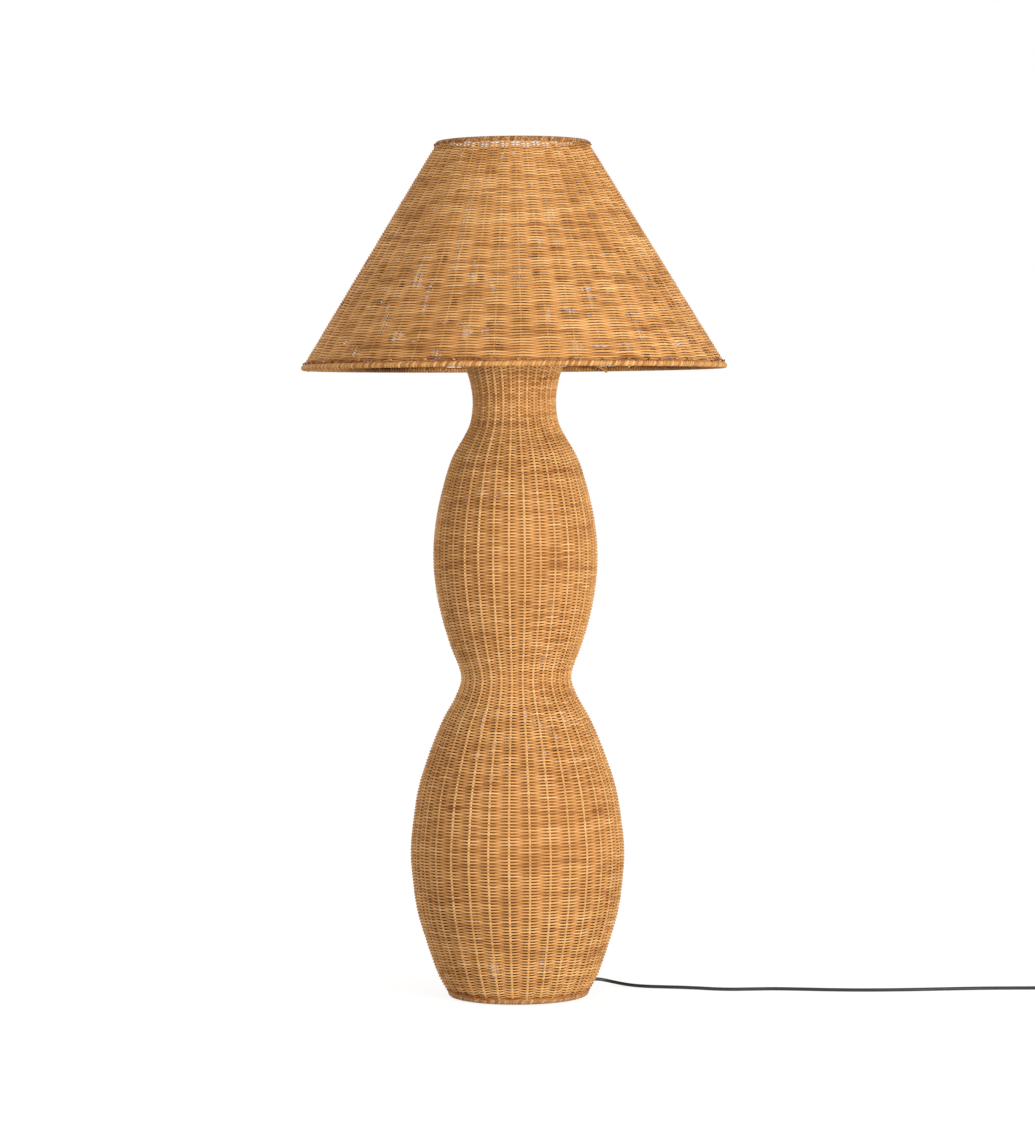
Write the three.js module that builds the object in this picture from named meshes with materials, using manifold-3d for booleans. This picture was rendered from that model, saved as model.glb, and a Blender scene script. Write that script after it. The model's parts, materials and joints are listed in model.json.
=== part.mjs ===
// Rattan floor lamp: a woven body with two bellies on a steel frame, a woven cone shade on a
// ring-clamped lampholder, and a mains lead with a foot switch and a plug.
// Millimetres, +Z up, with the origin on the floor under the lamp's axis.
import * as THREE from "three";
import { mergeVertices } from "three/addons/utils/BufferGeometryUtils.js";
import Module from "manifold-3d";

const wasm = await Module();
wasm.setup();

// Fits
const SEAT_GAP = 0.3;
const CUT_OVERRUN = 4;
const MERGE_GAP = 1e-3;

// Outside of the woven body: heights above the floor and radii, from the foot up
const FOOT_Z = 7;
const FOOT_RADIUS = 100;
const BELLY_Z = 203;
const BELLY_RADIUS = 151;
const WAIST_Z = 449;
const WAIST_RADIUS = 78;
const SHOULDER_Z = 625;
const SHOULDER_RADIUS = 116;
const NECK_Z = 836;
const NECK_RADIUS = 59;
const MOUTH_Z = 905;
const MOUTH_RADIUS = 76;
const BODY_WALL = 7;
// Points between two named heights, as shares of the rise and of the change in radius
const FOOT_TO_BELLY_SHARES = [[0.1, 0.22], [0.4, 0.63], [0.6, 0.84], [0.78, 0.94]];
const BELLY_TO_WAIST_SHARES = [[0.19, 0.055], [0.375, 0.16], [0.6, 0.41], [0.77, 0.655], [0.9, 0.9]];
const WAIST_TO_SHOULDER_SHARES = [[0.26, 0.4], [0.46, 0.68], [0.72, 0.92]];
const SHOULDER_TO_NECK_SHARES = [[0.24, 0.09], [0.45, 0.27], [0.62, 0.475], [0.85, 0.93]];
const NECK_TO_MOUTH_SHARES = [[0.32, 0.15], [0.52, 0.35], [0.75, 0.7]];
// Stakes of the weave: the strands stand out over each of them. The first is a turn from the front.
const BODY_STAKES = 32;
const BODY_TURN = THREE.MathUtils.degToRad(-4.6);
const BODY_RIB_RISE = 1.6;

// Bindings that close the body's edges
const FOOT_BINDING_RADIUS = 3.6;
const MOUTH_BINDING_RADIUS = 4.5;
const BINDING_SIDES = 6;

// Body frame: four flat bars inside the weave, welded to wire rings
const BAR_THICKNESS = 4;
const BAR_WIDTH = 5;
const BAR_COUNT = 4;
const RING_WIRE_RADIUS = 2.5;
const RING_FACETS = 16;
const MOUTH_RING_DROP = 7;

// Base plate, its rubber feet and the tube that ties the body together
const FOOT_PAD_HEIGHT = 4;
const FOOT_PAD_RADIUS = 9;
const FOOT_PAD_CIRCLE = 68;
const PLATE_THICKNESS = 6;
const TUBE_RADIUS = 8;
const TUBE_BORE = 6.5;
const TUBE_SLOT_WIDTH = 8;
const TUBE_SLOT_LOW = 16;
const TUBE_SLOT_HIGH = 56;
const TUBE_FACETS = 16;

// Threaded nipple, top plate and its nut
const NIPPLE_RADIUS = 5;
const NIPPLE_BORE = 3.2;
const NIPPLE_PLUG_LENGTH = 18;
const TOP_PLATE_THICKNESS = 2.5;
const WASHER_RADIUS = 12;
const WASHER_THICKNESS = 1.5;
const NUT_ACROSS_CORNERS = 18;
const NUT_HEIGHT = 5;

// Lampholder
const HOLDER_RADIUS = 20;
const HOLDER_WALL = 2.7;
const HOLDER_NECK_RADIUS = 8.5;
const HOLDER_NECK_HEIGHT = 10;
const HOLDER_CAP_HEIGHT = 31;
const HOLDER_CAP_WALL = 5;
const HOLDER_BARREL_HEIGHT = 44;
const FLANGE_RADIUS = 26;
const FLANGE_LIFT = 3;
const FLANGE_THICKNESS = 3;
const INSERT_FLOOR = 8;
const INSERT_HEIGHT = 18;
const INSERT_WALL = 2.2;
const SHELL_RADIUS = 14.4;
const SHELL_WALL = 0.6;
const SHELL_HEIGHT = 23;
const CONTACT_RADIUS = 5;
const CONTACT_THICKNESS = 1.2;
const CLAMP_RING_RADIUS = 27.5;
const CLAMP_RING_HEIGHT = 8;
const HOLDER_FACETS = 24;

// Bulb
const BULB_CAP_RADIUS = 13.2;
const BULB_CAP_HEIGHT = 22;
const BULB_CAP_WALL = 0.5;
const BULB_TIP_RADIUS = 4.5;
const BULB_TIP_HEIGHT = 3;
const BULB_RADIUS = 30;
const BULB_GLASS_HEIGHT = 82;
const BULB_GLASS_WALL = 1;
const BULB_NECK_INSERT = 14;
const BULB_FACETS = 18;
const BULB_OUTLINE_SHARES = [
  [0.04, 0.45], [0.16, 0.52], [0.3, 0.7], [0.45, 0.9], [0.6, 1], [0.78, 0.92], [0.91, 0.64], [0.98, 0.32],
];

// Shade: its two wire rings, and the cone woven between them
const SHADE_LOW_RING_RADIUS = 294.5;
const SHADE_LOW_RING_Z = 883;
const SHADE_TOP_RING_RADIUS = 104;
const SHADE_TOP_RING_Z = 1195;
const SHADE_LOW_WIRE_RADIUS = 2.5;
const SHADE_TOP_WIRE_RADIUS = 2;
const SHADE_WALL = 5.6;
const SHADE_LIP = 2.4;
const SHADE_BINDING_WALL = 1.6;
const SHADE_RIB_RADIUS = 1.5;
const SHADE_RIB_COUNT = 6;
const SHADE_STAKES = 48;
const SHADE_TURN = THREE.MathUtils.degToRad(2.1);
const SHADE_RIB_RISE = 1.1;
const WIRE_SIDES = 6;

// Fitter ring on the lampholder's flange, and its three arms
const FITTER_RADIUS = 28;
const FITTER_THICKNESS = 2.5;
const FITTER_CLEARANCE = 0.5;
const ARM_RADIUS = 2;
const ARM_COUNT = 3;
const ARM_LEVEL_LENGTH = 14;
const ARM_STEPS = 8;

// Lead, and the rubber gland where it leaves the body
const LEAD_DIAMETER = 5;
const LEAD_SIDES = 8;
const LEAD_STEP_DIAMETERS = 3;
const GLAND_AZIMUTH = THREE.MathUtils.degToRad(35);
const GLAND_TILT = THREE.MathUtils.degToRad(12);
const GLAND_Z = 17;
const GLAND_BARREL_RADIUS = 3.9;
const GLAND_COLLAR_RADIUS = 7;
const GLAND_COLLAR_REACH = 7;
const GLAND_TIP_RADIUS = 3.6;
const GLAND_REACH = 24;
const GLAND_FACETS = 12;
// Inside run from the gland's axis up the tube: distance from the lamp's axis, then height
const INNER_LEAD_POINTS = [[70, 23.5], [45, 25], [28, 26], [18, 29], [9, 35.5], [3, 45], [0, 57], [0, 100]];

// Foot switch on the lead
const SWITCH_X = 792;
const SWITCH_Y = 14;
const SWITCH_LENGTH = 68;
const SWITCH_WIDTH = 34;
const SWITCH_BASE_HEIGHT = 10;
const SWITCH_FLOOR = 2.5;
const SWITCH_WALL = 2;
const SWITCH_COVER_HEIGHT = 9;
const SWITCH_BUTTON_RADIUS = 11;
const SWITCH_BUTTON_RISE = 4;
const SWITCH_BUTTON_FLANGE = 1.5;
const SWITCH_TRAVEL = 3;
const SWITCH_BLOCK_RADIUS = 6;
const SWITCH_LEAD_Z = 5;
const SWITCH_END_STEPS = 8;

// Coil of spare lead, its tie and the plug
const COIL_X = 872;
const COIL_TURNS = 6.5;
const COIL_INNER_RADIUS = 20.5;
const COIL_PITCH = 5.5;
const COIL_LIFT = 1.4;
const COIL_CLIMB_TURN_SHARE = 0.5;
const LOOP_STEPS = 24;
const LOOP_SIDES = 6;
const TIE_THICKNESS = 0.8;
const TIE_WIDTH = 9;
const PLUG_X = 776;
const PLUG_Y = -52;
const PLUG_WIDTH = 35;
const PLUG_THICKNESS = 14;
const PLUG_HEAD_LENGTH = 12;
const PLUG_BODY_LENGTH = 32;
const PLUG_TAIL_WIDTH = 15;
const PLUG_BEVEL = 1.5;
const PLUG_BOOT_LENGTH = 22;
const PLUG_BOOT_RADIUS = 5.5;
const PLUG_BOOT_TIP_RADIUS = 3.6;
const PIN_RADIUS = 2;
const PIN_LENGTH = 19;
const PIN_SPACING = 18.6;
const PIN_FACETS = 10;

// Route of the lead over the floor, from the gland to the switch
const LEAD_POINTS = [
  [116, 79.5, 9.8], [126, 82, 7.6], [138, 79, 5.4], [151, 72, 3.8], [166, 63, 3], [184, 55, 2.8],
  [205, 49.5, 2.8], [230, 44, 2.8], [255, 36, 2.8], [278, 27, 2.8], [302, 22.5, 2.8], [330, 23.5, 2.8],
  [362, 24.5, 2.8], [395, 20, 2.8], [440, 12, 2.8], [490, 7, 2.8], [545, 7.5, 2.8], [600, 12, 2.8],
  [655, 16, 2.8], [700, 16, 2.8], [735, 14.6, 3.2],
];
// Route from the coil's top layer down to the plug
const TAIL_POINTS = [[855, -61.2, 9], [847, -57.6, 8.1], [839.5, -53.8, 7.3]];

const RATTAN = new THREE.MeshStandardMaterial({ color: 0xc99a5e, roughness: 0.6, metalness: 0 });
const RATTAN_BINDING = new THREE.MeshStandardMaterial({ color: 0x9a6a3a, roughness: 0.62, metalness: 0 });
const STEEL = new THREE.MeshStandardMaterial({ color: 0x3a3a3c, roughness: 0.45, metalness: 0.9 });
const ZINC = new THREE.MeshStandardMaterial({ color: 0xb9bcc0, roughness: 0.35, metalness: 1 });
const BRASS = new THREE.MeshStandardMaterial({ color: 0xc9a24a, roughness: 0.3, metalness: 1 });
const BLACK_PLASTIC = new THREE.MeshStandardMaterial({ color: 0x17171a, roughness: 0.4, metalness: 0 });
const CERAMIC = new THREE.MeshStandardMaterial({ color: 0xece7dc, roughness: 0.3, metalness: 0 });
const GLASS = new THREE.MeshStandardMaterial({ color: 0xf6f2e8, roughness: 0.1, metalness: 0 });
const RUBBER = new THREE.MeshStandardMaterial({ color: 0x1b1b1b, roughness: 0.85, metalness: 0 });
const LEAD_SHEATH = new THREE.MeshStandardMaterial({ color: 0x141414, roughness: 0.55, metalness: 0 });

// Helpers

function piece(parent, name, geometry, material) {
  const mesh = new THREE.Mesh(geometry, material);
  mesh.name = name;
  parent.add(mesh);
  return mesh;
}

// Turns a closed outline of [radius, height] pairs, anticlockwise, about +Z.
function turned(outline, facets) {
  const points = [...outline, outline[0]].map(([r, z]) => new THREE.Vector2(r, z));
  return new THREE.LatheGeometry(points, facets).rotateX(Math.PI / 2);
}

// Turns an outline that starts and ends on the axis.
function turnedSolid(outline, facets) {
  const points = outline.map(([r, z]) => new THREE.Vector2(r, z));
  return new THREE.LatheGeometry(points, facets).rotateX(Math.PI / 2);
}

function sleeve(outerRadius, innerRadius, low, high, facets) {
  return turned([[innerRadius, low], [outerRadius, low], [outerRadius, high], [innerRadius, high]], facets);
}

// A wire ring about the lamp's axis, whose section has a corner on its outermost side.
function wireRing(ringRadius, z, wireRadius, facets) {
  const section = Array.from({ length: WIRE_SIDES }, (_, i) => {
    const angle = (i / WIRE_SIDES) * 2 * Math.PI;
    return [ringRadius + wireRadius * Math.cos(angle), z + wireRadius * Math.sin(angle)];
  });
  return turned(section, facets);
}

function solidOf(geometry) {
  const bare = geometry.index ? geometry.toNonIndexed() : geometry.clone();
  bare.deleteAttribute("normal");
  bare.deleteAttribute("uv");
  const merged = mergeVertices(bare, MERGE_GAP);
  return new wasm.Manifold(new wasm.Mesh({
    numProp: 3,
    vertProperties: merged.attributes.position.array,
    triVerts: new Uint32Array(merged.index.array),
  }));
}

function geometryOf(solid) {
  const mesh = solid.getMesh();
  return new THREE.BufferGeometry()
    .setAttribute("position", new THREE.BufferAttribute(new Float32Array(mesh.vertProperties), 3))
    .setIndex(new THREE.BufferAttribute(new Uint32Array(mesh.triVerts), 1));
}

function circleShape(radius, sides) {
  return new THREE.Shape(Array.from({ length: sides }, (_, i) => {
    const angle = (i / sides) * 2 * Math.PI;
    return new THREE.Vector2(radius * Math.cos(angle), radius * Math.sin(angle));
  }));
}

function tubeAlong(points, radius, sides, steps) {
  const path = new THREE.CatmullRomCurve3(points, false, "centripetal");
  return new THREE.ExtrudeGeometry(circleShape(radius, sides), { steps, extrudePath: path });
}

function leadAlong(points) {
  const route = new THREE.CatmullRomCurve3(points, false, "centripetal");
  const steps = Math.ceil(route.getLength() / (LEAD_STEP_DIAMETERS * LEAD_DIAMETER));
  return tubeAlong(points, LEAD_DIAMETER / 2, LEAD_SIDES, steps);
}

// A tube with one ring of corners at each point, closed at both ends. Its first corner keeps to one
// side as the tube bends.
function ringedTube(points, radius, sides) {
  const rings = [];
  const first = points[1].clone().sub(points[0]);
  const normal = new THREE.Vector3(first.z, first.x, first.y);
  points.forEach((point, i) => {
    const before = points[Math.max(i - 1, 0)];
    const after = points[Math.min(i + 1, points.length - 1)];
    const along = after.clone().sub(before).normalize();
    normal.addScaledVector(along, -normal.dot(along)).normalize();
    const side = along.clone().cross(normal);
    for (let k = 0; k < sides; k += 1) {
      const angle = (k / sides) * 2 * Math.PI;
      const corner = point.clone().addScaledVector(normal, radius * Math.cos(angle));
      rings.push(corner.addScaledVector(side, radius * Math.sin(angle)));
    }
  });
  return new THREE.BufferGeometry().setFromPoints(rings).setIndex(tubeFaces(points.length, sides));
}

function tubeFaces(rings, sides) {
  const faces = [];
  for (let i = 0; i + 1 < rings; i += 1) {
    for (let k = 0; k < sides; k += 1) {
      const next = (k + 1) % sides;
      const [a, b] = [i * sides + k, i * sides + next];
      faces.push(a, b, b + sides, a, b + sides, a + sides);
    }
  }
  const last = (rings - 1) * sides;
  for (let k = 1; k + 1 < sides; k += 1) {
    faces.push(0, k + 1, k, last, last + k, last + k + 1);
  }
  return faces;
}

// Corners of one level of a woven wall, from the front round: one at each stake and, where the wall
// has ribs, one in each hollow, measured on the flat between two stakes.
function wovenRing(stakes, ridge, hollow) {
  const flat = Math.cos(Math.PI / stakes);
  const places = hollow ? [ridge, [hollow[0] * flat, hollow[1]]] : [ridge];
  const count = stakes * places.length;
  return Array.from({ length: count }, (_, i) => {
    const [radius, z] = places[i % places.length];
    const angle = (i / count) * 2 * Math.PI - Math.PI / 2;
    return new THREE.Vector3(radius * Math.cos(angle), radius * Math.sin(angle), z);
  });
}

// A closed wall between rings of corners outside and inside, given from the low end up.
function wovenWall(outer, inner) {
  const [many, few] = [outer[0].length, inner[0].length];
  const inside = outer.length * many;
  const faces = [];
  for (let i = 0; i + 1 < outer.length; i += 1) {
    for (let k = 0; k < many; k += 1) {
      const [a, b] = [i * many + k, i * many + ((k + 1) % many)];
      faces.push(a, b, b + many, a, b + many, a + many);
    }
    for (let k = 0; k < few; k += 1) {
      const [a, b] = [inside + i * few + k, inside + i * few + ((k + 1) % few)];
      faces.push(a, b + few, b, a, a + few, b + few);
    }
  }
  const [topOutside, topInside] = [inside - many, inside + (outer.length - 1) * few];
  for (let k = 0; k < many; k += 1) {
    const next = (k + 1) % many;
    const near = Math.ceil((k * few) / many) % few;
    const far = Math.ceil(((k + 1) * few) / many) % few;
    faces.push(inside + near, next, k, topInside + near, topOutside + k, topOutside + next);
    if (near !== far) {
      faces.push(inside + near, inside + far, next, topInside + near, topOutside + next, topInside + far);
    }
  }
  const corners = [...outer.flat(), ...inner.flat()];
  return new THREE.BufferGeometry().setFromPoints(corners).setIndex(faces);
}

// Outline of the body

function between([lowR, lowZ], [highR, highZ], shares) {
  return shares.map(([rise, change]) => [lowR + (highR - lowR) * change, lowZ + (highZ - lowZ) * rise]);
}

const foot = [FOOT_RADIUS, FOOT_Z];
const belly = [BELLY_RADIUS, BELLY_Z];
const waist = [WAIST_RADIUS, WAIST_Z];
const shoulder = [SHOULDER_RADIUS, SHOULDER_Z];
const neck = [NECK_RADIUS, NECK_Z];
const mouth = [MOUTH_RADIUS, MOUTH_Z];
const bodyStations = [
  foot, ...between(foot, belly, FOOT_TO_BELLY_SHARES),
  belly, ...between(belly, waist, BELLY_TO_WAIST_SHARES),
  waist, ...between(waist, shoulder, WAIST_TO_SHOULDER_SHARES),
  shoulder, ...between(shoulder, neck, SHOULDER_TO_NECK_SHARES),
  neck, ...between(neck, mouth, NECK_TO_MOUTH_SHARES),
  mouth,
];
const bodyOutline = new THREE.SplineCurve(bodyStations.map(([r, z]) => new THREE.Vector2(r, z)));

// The point of the outline at a share of its stations, moved inwards, square to it, by a depth.
function insideBody(share, depth) {
  const point = bodyOutline.getPoint(share);
  const along = bodyOutline.getTangent(share);
  return [point.x - depth * along.y, point.y + depth * along.x];
}

function insideStations(depth) {
  return bodyStations.map((_, i) => insideBody(i / (bodyStations.length - 1), depth));
}

// The share of the outline whose point, moved inwards by a depth, has a given height.
function shareAtHeight(z, depth) {
  let [low, high] = [0, 1];
  for (let i = 0; i < 40; i += 1) {
    const middle = (low + high) / 2;
    if (insideBody(middle, depth)[1] < z) low = middle;
    else high = middle;
  }
  return (low + high) / 2;
}

// Radius of the outline, moved inwards by a depth, at a height.
function bodyRadiusAt(z, depth) {
  return insideBody(shareAtHeight(z, depth), depth)[0];
}

// Heights and radii that several pieces share

const barInside = BODY_WALL + SEAT_GAP + BAR_THICKNESS;
const ringDepth = barInside + SEAT_GAP + RING_WIRE_RADIUS;
const plateLow = FOOT_PAD_HEIGHT;
const plateHigh = plateLow + PLATE_THICKNESS;
const footRingZ = plateHigh + SEAT_GAP + RING_WIRE_RADIUS;
const mouthRingZ = MOUTH_Z - MOUTH_RING_DROP;
const mouthRingRadius = bodyRadiusAt(mouthRingZ, ringDepth);
const topPlateLow = mouthRingZ + RING_WIRE_RADIUS + SEAT_GAP;
const topPlateHigh = topPlateLow + TOP_PLATE_THICKNESS;
const tubeTop = topPlateLow - SEAT_GAP;
const washerLow = topPlateHigh + SEAT_GAP;
const nutLow = washerLow + WASHER_THICKNESS + SEAT_GAP;
const holderLow = nutLow + NUT_HEIGHT + SEAT_GAP;
const barrelLow = holderLow + HOLDER_CAP_HEIGHT + SEAT_GAP;
const flangeHigh = barrelLow + FLANGE_LIFT + FLANGE_THICKNESS;
const fitterLow = flangeHigh + SEAT_GAP;
const clampRingLow = fitterLow + FITTER_THICKNESS + SEAT_GAP;
const insertFloorHigh = barrelLow + INSERT_FLOOR;
const bulbLow = insertFloorHigh + SEAT_GAP + CONTACT_THICKNESS + SEAT_GAP;
const nippleHole = NIPPLE_RADIUS + SEAT_GAP;
const leadRadius = LEAD_DIAMETER / 2;

const footBindingCentre = edgeBinding(0, -1, FOOT_BINDING_RADIUS);
const mouthBindingCentre = edgeBinding(1, 1, MOUTH_BINDING_RADIUS);

// Centre of a round binding that lies on the weave's end, before or after it.
function edgeBinding(share, direction, radius) {
  const [r, z] = insideBody(share, BODY_WALL / 2);
  const along = bodyOutline.getTangent(share);
  const reach = direction * (SEAT_GAP + radius);
  return [r + reach * along.x, z + reach * along.y];
}

// Gland axis: it passes through the middle of the body's wall at GLAND_Z and falls outwards.
const glandDirection = new THREE.Vector3(
  Math.cos(GLAND_AZIMUTH) * Math.cos(GLAND_TILT),
  Math.sin(GLAND_AZIMUTH) * Math.cos(GLAND_TILT),
  -Math.sin(GLAND_TILT),
);
const glandSeat = onAzimuth(bodyRadiusAt(GLAND_Z, BODY_WALL / 2), GLAND_Z);
const glandTip = glandSeat.clone().addScaledVector(glandDirection, GLAND_REACH);

function onAzimuth(radius, z) {
  return new THREE.Vector3(radius * Math.cos(GLAND_AZIMUTH), radius * Math.sin(GLAND_AZIMUTH), z);
}

// Lays a geometry that runs along +Z from its origin on the gland's axis.
function onGlandAxis(geometry) {
  const turn = new THREE.Quaternion().setFromUnitVectors(new THREE.Vector3(0, 0, 1), glandDirection);
  return geometry.applyQuaternion(turn).translate(glandSeat.x, glandSeat.y, glandSeat.z);
}

// Body

function bodyShell() {
  const hollows = insideStations(BODY_RIB_RISE);
  const outer = bodyStations.map((ridge, i) => wovenRing(BODY_STAKES, ridge, hollows[i]));
  const inner = insideStations(BODY_WALL).map((place) => wovenRing(BODY_STAKES, place));
  return wovenWall(outer, inner).rotateZ(BODY_TURN);
}

function bodyWeave() {
  const holeRadius = GLAND_BARREL_RADIUS + SEAT_GAP;
  const hole = new THREE.ExtrudeGeometry(circleShape(holeRadius, GLAND_FACETS), {
    depth: 2 * (BODY_WALL + CUT_OVERRUN),
    bevelEnabled: false,
  }).translate(0, 0, -(BODY_WALL + CUT_OVERRUN));
  return geometryOf(solidOf(bodyShell()).subtract(solidOf(onGlandAxis(hole))));
}

function roundBinding([radius, z], bindingRadius) {
  const section = Array.from({ length: BINDING_SIDES }, (_, i) => {
    const angle = ((i + 0.5) / BINDING_SIDES) * 2 * Math.PI;
    return [radius + bindingRadius * Math.cos(angle), z + bindingRadius * Math.sin(angle)];
  });
  return turned(section, BODY_STAKES).rotateZ(BODY_TURN);
}

// A flat bar bent to the weave's inner face, as wide as the bar across the plane of the bend.
function frameBar() {
  const outer = insideStations(BODY_WALL + SEAT_GAP);
  const inner = insideStations(barInside).reverse();
  const shape = new THREE.Shape([...outer, ...inner].map(([r, z]) => new THREE.Vector2(r, z)));
  return new THREE.ExtrudeGeometry(shape, { depth: BAR_WIDTH, bevelEnabled: false })
    .translate(0, 0, -BAR_WIDTH / 2)
    .rotateX(Math.PI / 2);
}

function addBars(parent) {
  for (let i = 0; i < BAR_COUNT; i += 1) {
    const bar = piece(parent, `body_bar_${i + 1}`, frameBar(), STEEL);
    bar.rotation.z = BODY_TURN + ((i + 0.5) / BAR_COUNT) * 2 * Math.PI;
  }
}

function addBodyRings(parent) {
  const heights = {
    foot_ring: footRingZ,
    belly_ring: BELLY_Z,
    waist_ring: WAIST_Z,
    shoulder_ring: SHOULDER_Z,
    mouth_ring: mouthRingZ,
  };
  for (const [name, z] of Object.entries(heights)) {
    const ring = wireRing(bodyRadiusAt(z, ringDepth), z, RING_WIRE_RADIUS, RING_FACETS);
    piece(parent, name, ring.rotateZ(BODY_TURN), STEEL);
  }
}

function basePlate() {
  const rim = footBindingCentre[0] - FOOT_BINDING_RADIUS - SEAT_GAP;
  return sleeve(rim, TUBE_RADIUS + SEAT_GAP, plateLow, plateHigh, BODY_STAKES).rotateZ(BODY_TURN);
}

function addFeet(parent) {
  for (let i = 0; i < BAR_COUNT; i += 1) {
    const height = FOOT_PAD_HEIGHT - SEAT_GAP;
    const lowRadius = FOOT_PAD_RADIUS - SEAT_GAP;
    const pad = new THREE.CylinderGeometry(FOOT_PAD_RADIUS, lowRadius, height, GLAND_FACETS);
    const angle = ((i + 0.5) / BAR_COUNT) * 2 * Math.PI;
    const mesh = piece(parent, `rubber_foot_${i + 1}`, pad.rotateX(Math.PI / 2), RUBBER);
    mesh.position.set(FOOT_PAD_CIRCLE * Math.cos(angle), FOOT_PAD_CIRCLE * Math.sin(angle), height / 2);
  }
}

function centreTube() {
  const tube = solidOf(sleeve(TUBE_RADIUS, TUBE_BORE, plateLow, tubeTop, TUBE_FACETS));
  const reach = TUBE_RADIUS + CUT_OVERRUN;
  const height = TUBE_SLOT_HIGH - TUBE_SLOT_LOW;
  const slot = new THREE.BoxGeometry(reach, TUBE_SLOT_WIDTH, height)
    .translate(reach / 2, 0, TUBE_SLOT_LOW + height / 2)
    .rotateZ(GLAND_AZIMUTH);
  return geometryOf(tube.subtract(solidOf(slot)));
}

function tubeNipple() {
  const plug = TUBE_BORE - SEAT_GAP;
  const high = holderLow + HOLDER_NECK_HEIGHT;
  return turned([
    [NIPPLE_BORE, tubeTop - NIPPLE_PLUG_LENGTH], [plug, tubeTop - NIPPLE_PLUG_LENGTH],
    [plug, tubeTop], [NIPPLE_RADIUS, tubeTop], [NIPPLE_RADIUS, high], [NIPPLE_BORE, high],
  ], TUBE_FACETS);
}

function hexNut(acrossCorners, hole, height) {
  const shape = circleShape(acrossCorners / 2, 6);
  shape.holes.push(new THREE.Path(circleShape(hole, TUBE_FACETS).getPoints()));
  return new THREE.ExtrudeGeometry(shape, { depth: height, bevelEnabled: false });
}

function addTopStack(parent) {
  const plateRadius = mouthRingRadius + RING_WIRE_RADIUS;
  const plate = sleeve(plateRadius, nippleHole, topPlateLow, topPlateHigh, BODY_STAKES);
  const washer = sleeve(WASHER_RADIUS, nippleHole, washerLow, washerLow + WASHER_THICKNESS, TUBE_FACETS);
  piece(parent, "centre_tube", centreTube(), STEEL);
  piece(parent, "tube_nipple", tubeNipple(), ZINC);
  piece(parent, "top_plate", plate, STEEL);
  piece(parent, "top_washer", washer, ZINC);
  const nut = piece(parent, "top_nut", hexNut(NUT_ACROSS_CORNERS, nippleHole, NUT_HEIGHT), ZINC);
  nut.position.z = nutLow;
}

function makeBody() {
  const body = new THREE.Group();
  piece(body, "body_weave", bodyWeave(), RATTAN);
  piece(body, "body_foot_binding", roundBinding(footBindingCentre, FOOT_BINDING_RADIUS), RATTAN_BINDING);
  piece(body, "body_mouth_binding", roundBinding(mouthBindingCentre, MOUTH_BINDING_RADIUS), RATTAN_BINDING);
  addBars(body);
  addBodyRings(body);
  piece(body, "base_plate", basePlate(), STEEL);
  addFeet(body);
  addTopStack(body);
  return body;
}

// Lampholder

function holderCap() {
  const neckHigh = holderLow + HOLDER_NECK_HEIGHT;
  const shoulderHigh = neckHigh + HOLDER_RADIUS - HOLDER_NECK_RADIUS;
  const high = holderLow + HOLDER_CAP_HEIGHT;
  const inside = HOLDER_RADIUS - HOLDER_CAP_WALL;
  return turned([
    [nippleHole, holderLow], [HOLDER_NECK_RADIUS, holderLow], [HOLDER_NECK_RADIUS, neckHigh],
    [HOLDER_RADIUS, shoulderHigh], [HOLDER_RADIUS, high], [inside, high],
    [inside, shoulderHigh], [nippleHole, neckHigh + SEAT_GAP],
  ], HOLDER_FACETS);
}

function holderBarrel() {
  const inside = HOLDER_RADIUS - HOLDER_WALL;
  const flangeLow = barrelLow + FLANGE_LIFT;
  const high = barrelLow + HOLDER_BARREL_HEIGHT;
  return turned([
    [inside, barrelLow], [HOLDER_RADIUS, barrelLow], [HOLDER_RADIUS, flangeLow], [FLANGE_RADIUS, flangeLow],
    [FLANGE_RADIUS, flangeHigh], [HOLDER_RADIUS, flangeHigh], [HOLDER_RADIUS, high], [inside, high],
  ], HOLDER_FACETS);
}

function holderInsert() {
  const outside = HOLDER_RADIUS - HOLDER_WALL - SEAT_GAP;
  const inside = outside - INSERT_WALL;
  const high = barrelLow + INSERT_HEIGHT;
  return turnedSolid([
    [0, barrelLow], [outside, barrelLow], [outside, high], [inside, high], [inside, insertFloorHigh],
    [0, insertFloorHigh],
  ], HOLDER_FACETS);
}

function makeHolder() {
  const holder = new THREE.Group();
  piece(holder, "holder_cap", holderCap(), BLACK_PLASTIC);
  piece(holder, "holder_barrel", holderBarrel(), BLACK_PLASTIC);
  piece(holder, "holder_insert", holderInsert(), CERAMIC);
  const shellLow = insertFloorHigh + SEAT_GAP;
  const shellHigh = shellLow + SHELL_HEIGHT;
  const shell = sleeve(SHELL_RADIUS, SHELL_RADIUS - SHELL_WALL, shellLow, shellHigh, HOLDER_FACETS);
  piece(holder, "screw_shell", shell, BRASS);
  const contact = turnedSolid([
    [0, shellLow], [CONTACT_RADIUS, shellLow], [CONTACT_RADIUS, shellLow + CONTACT_THICKNESS],
    [0, shellLow + CONTACT_THICKNESS],
  ], PIN_FACETS);
  piece(holder, "centre_contact", contact, BRASS);
  const clampHigh = clampRingLow + CLAMP_RING_HEIGHT;
  const clamp = sleeve(CLAMP_RING_RADIUS, HOLDER_RADIUS + SEAT_GAP, clampRingLow, clampHigh, HOLDER_FACETS);
  piece(holder, "shade_clamp_ring", clamp, BLACK_PLASTIC);
  return holder;
}

// Bulb

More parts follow.
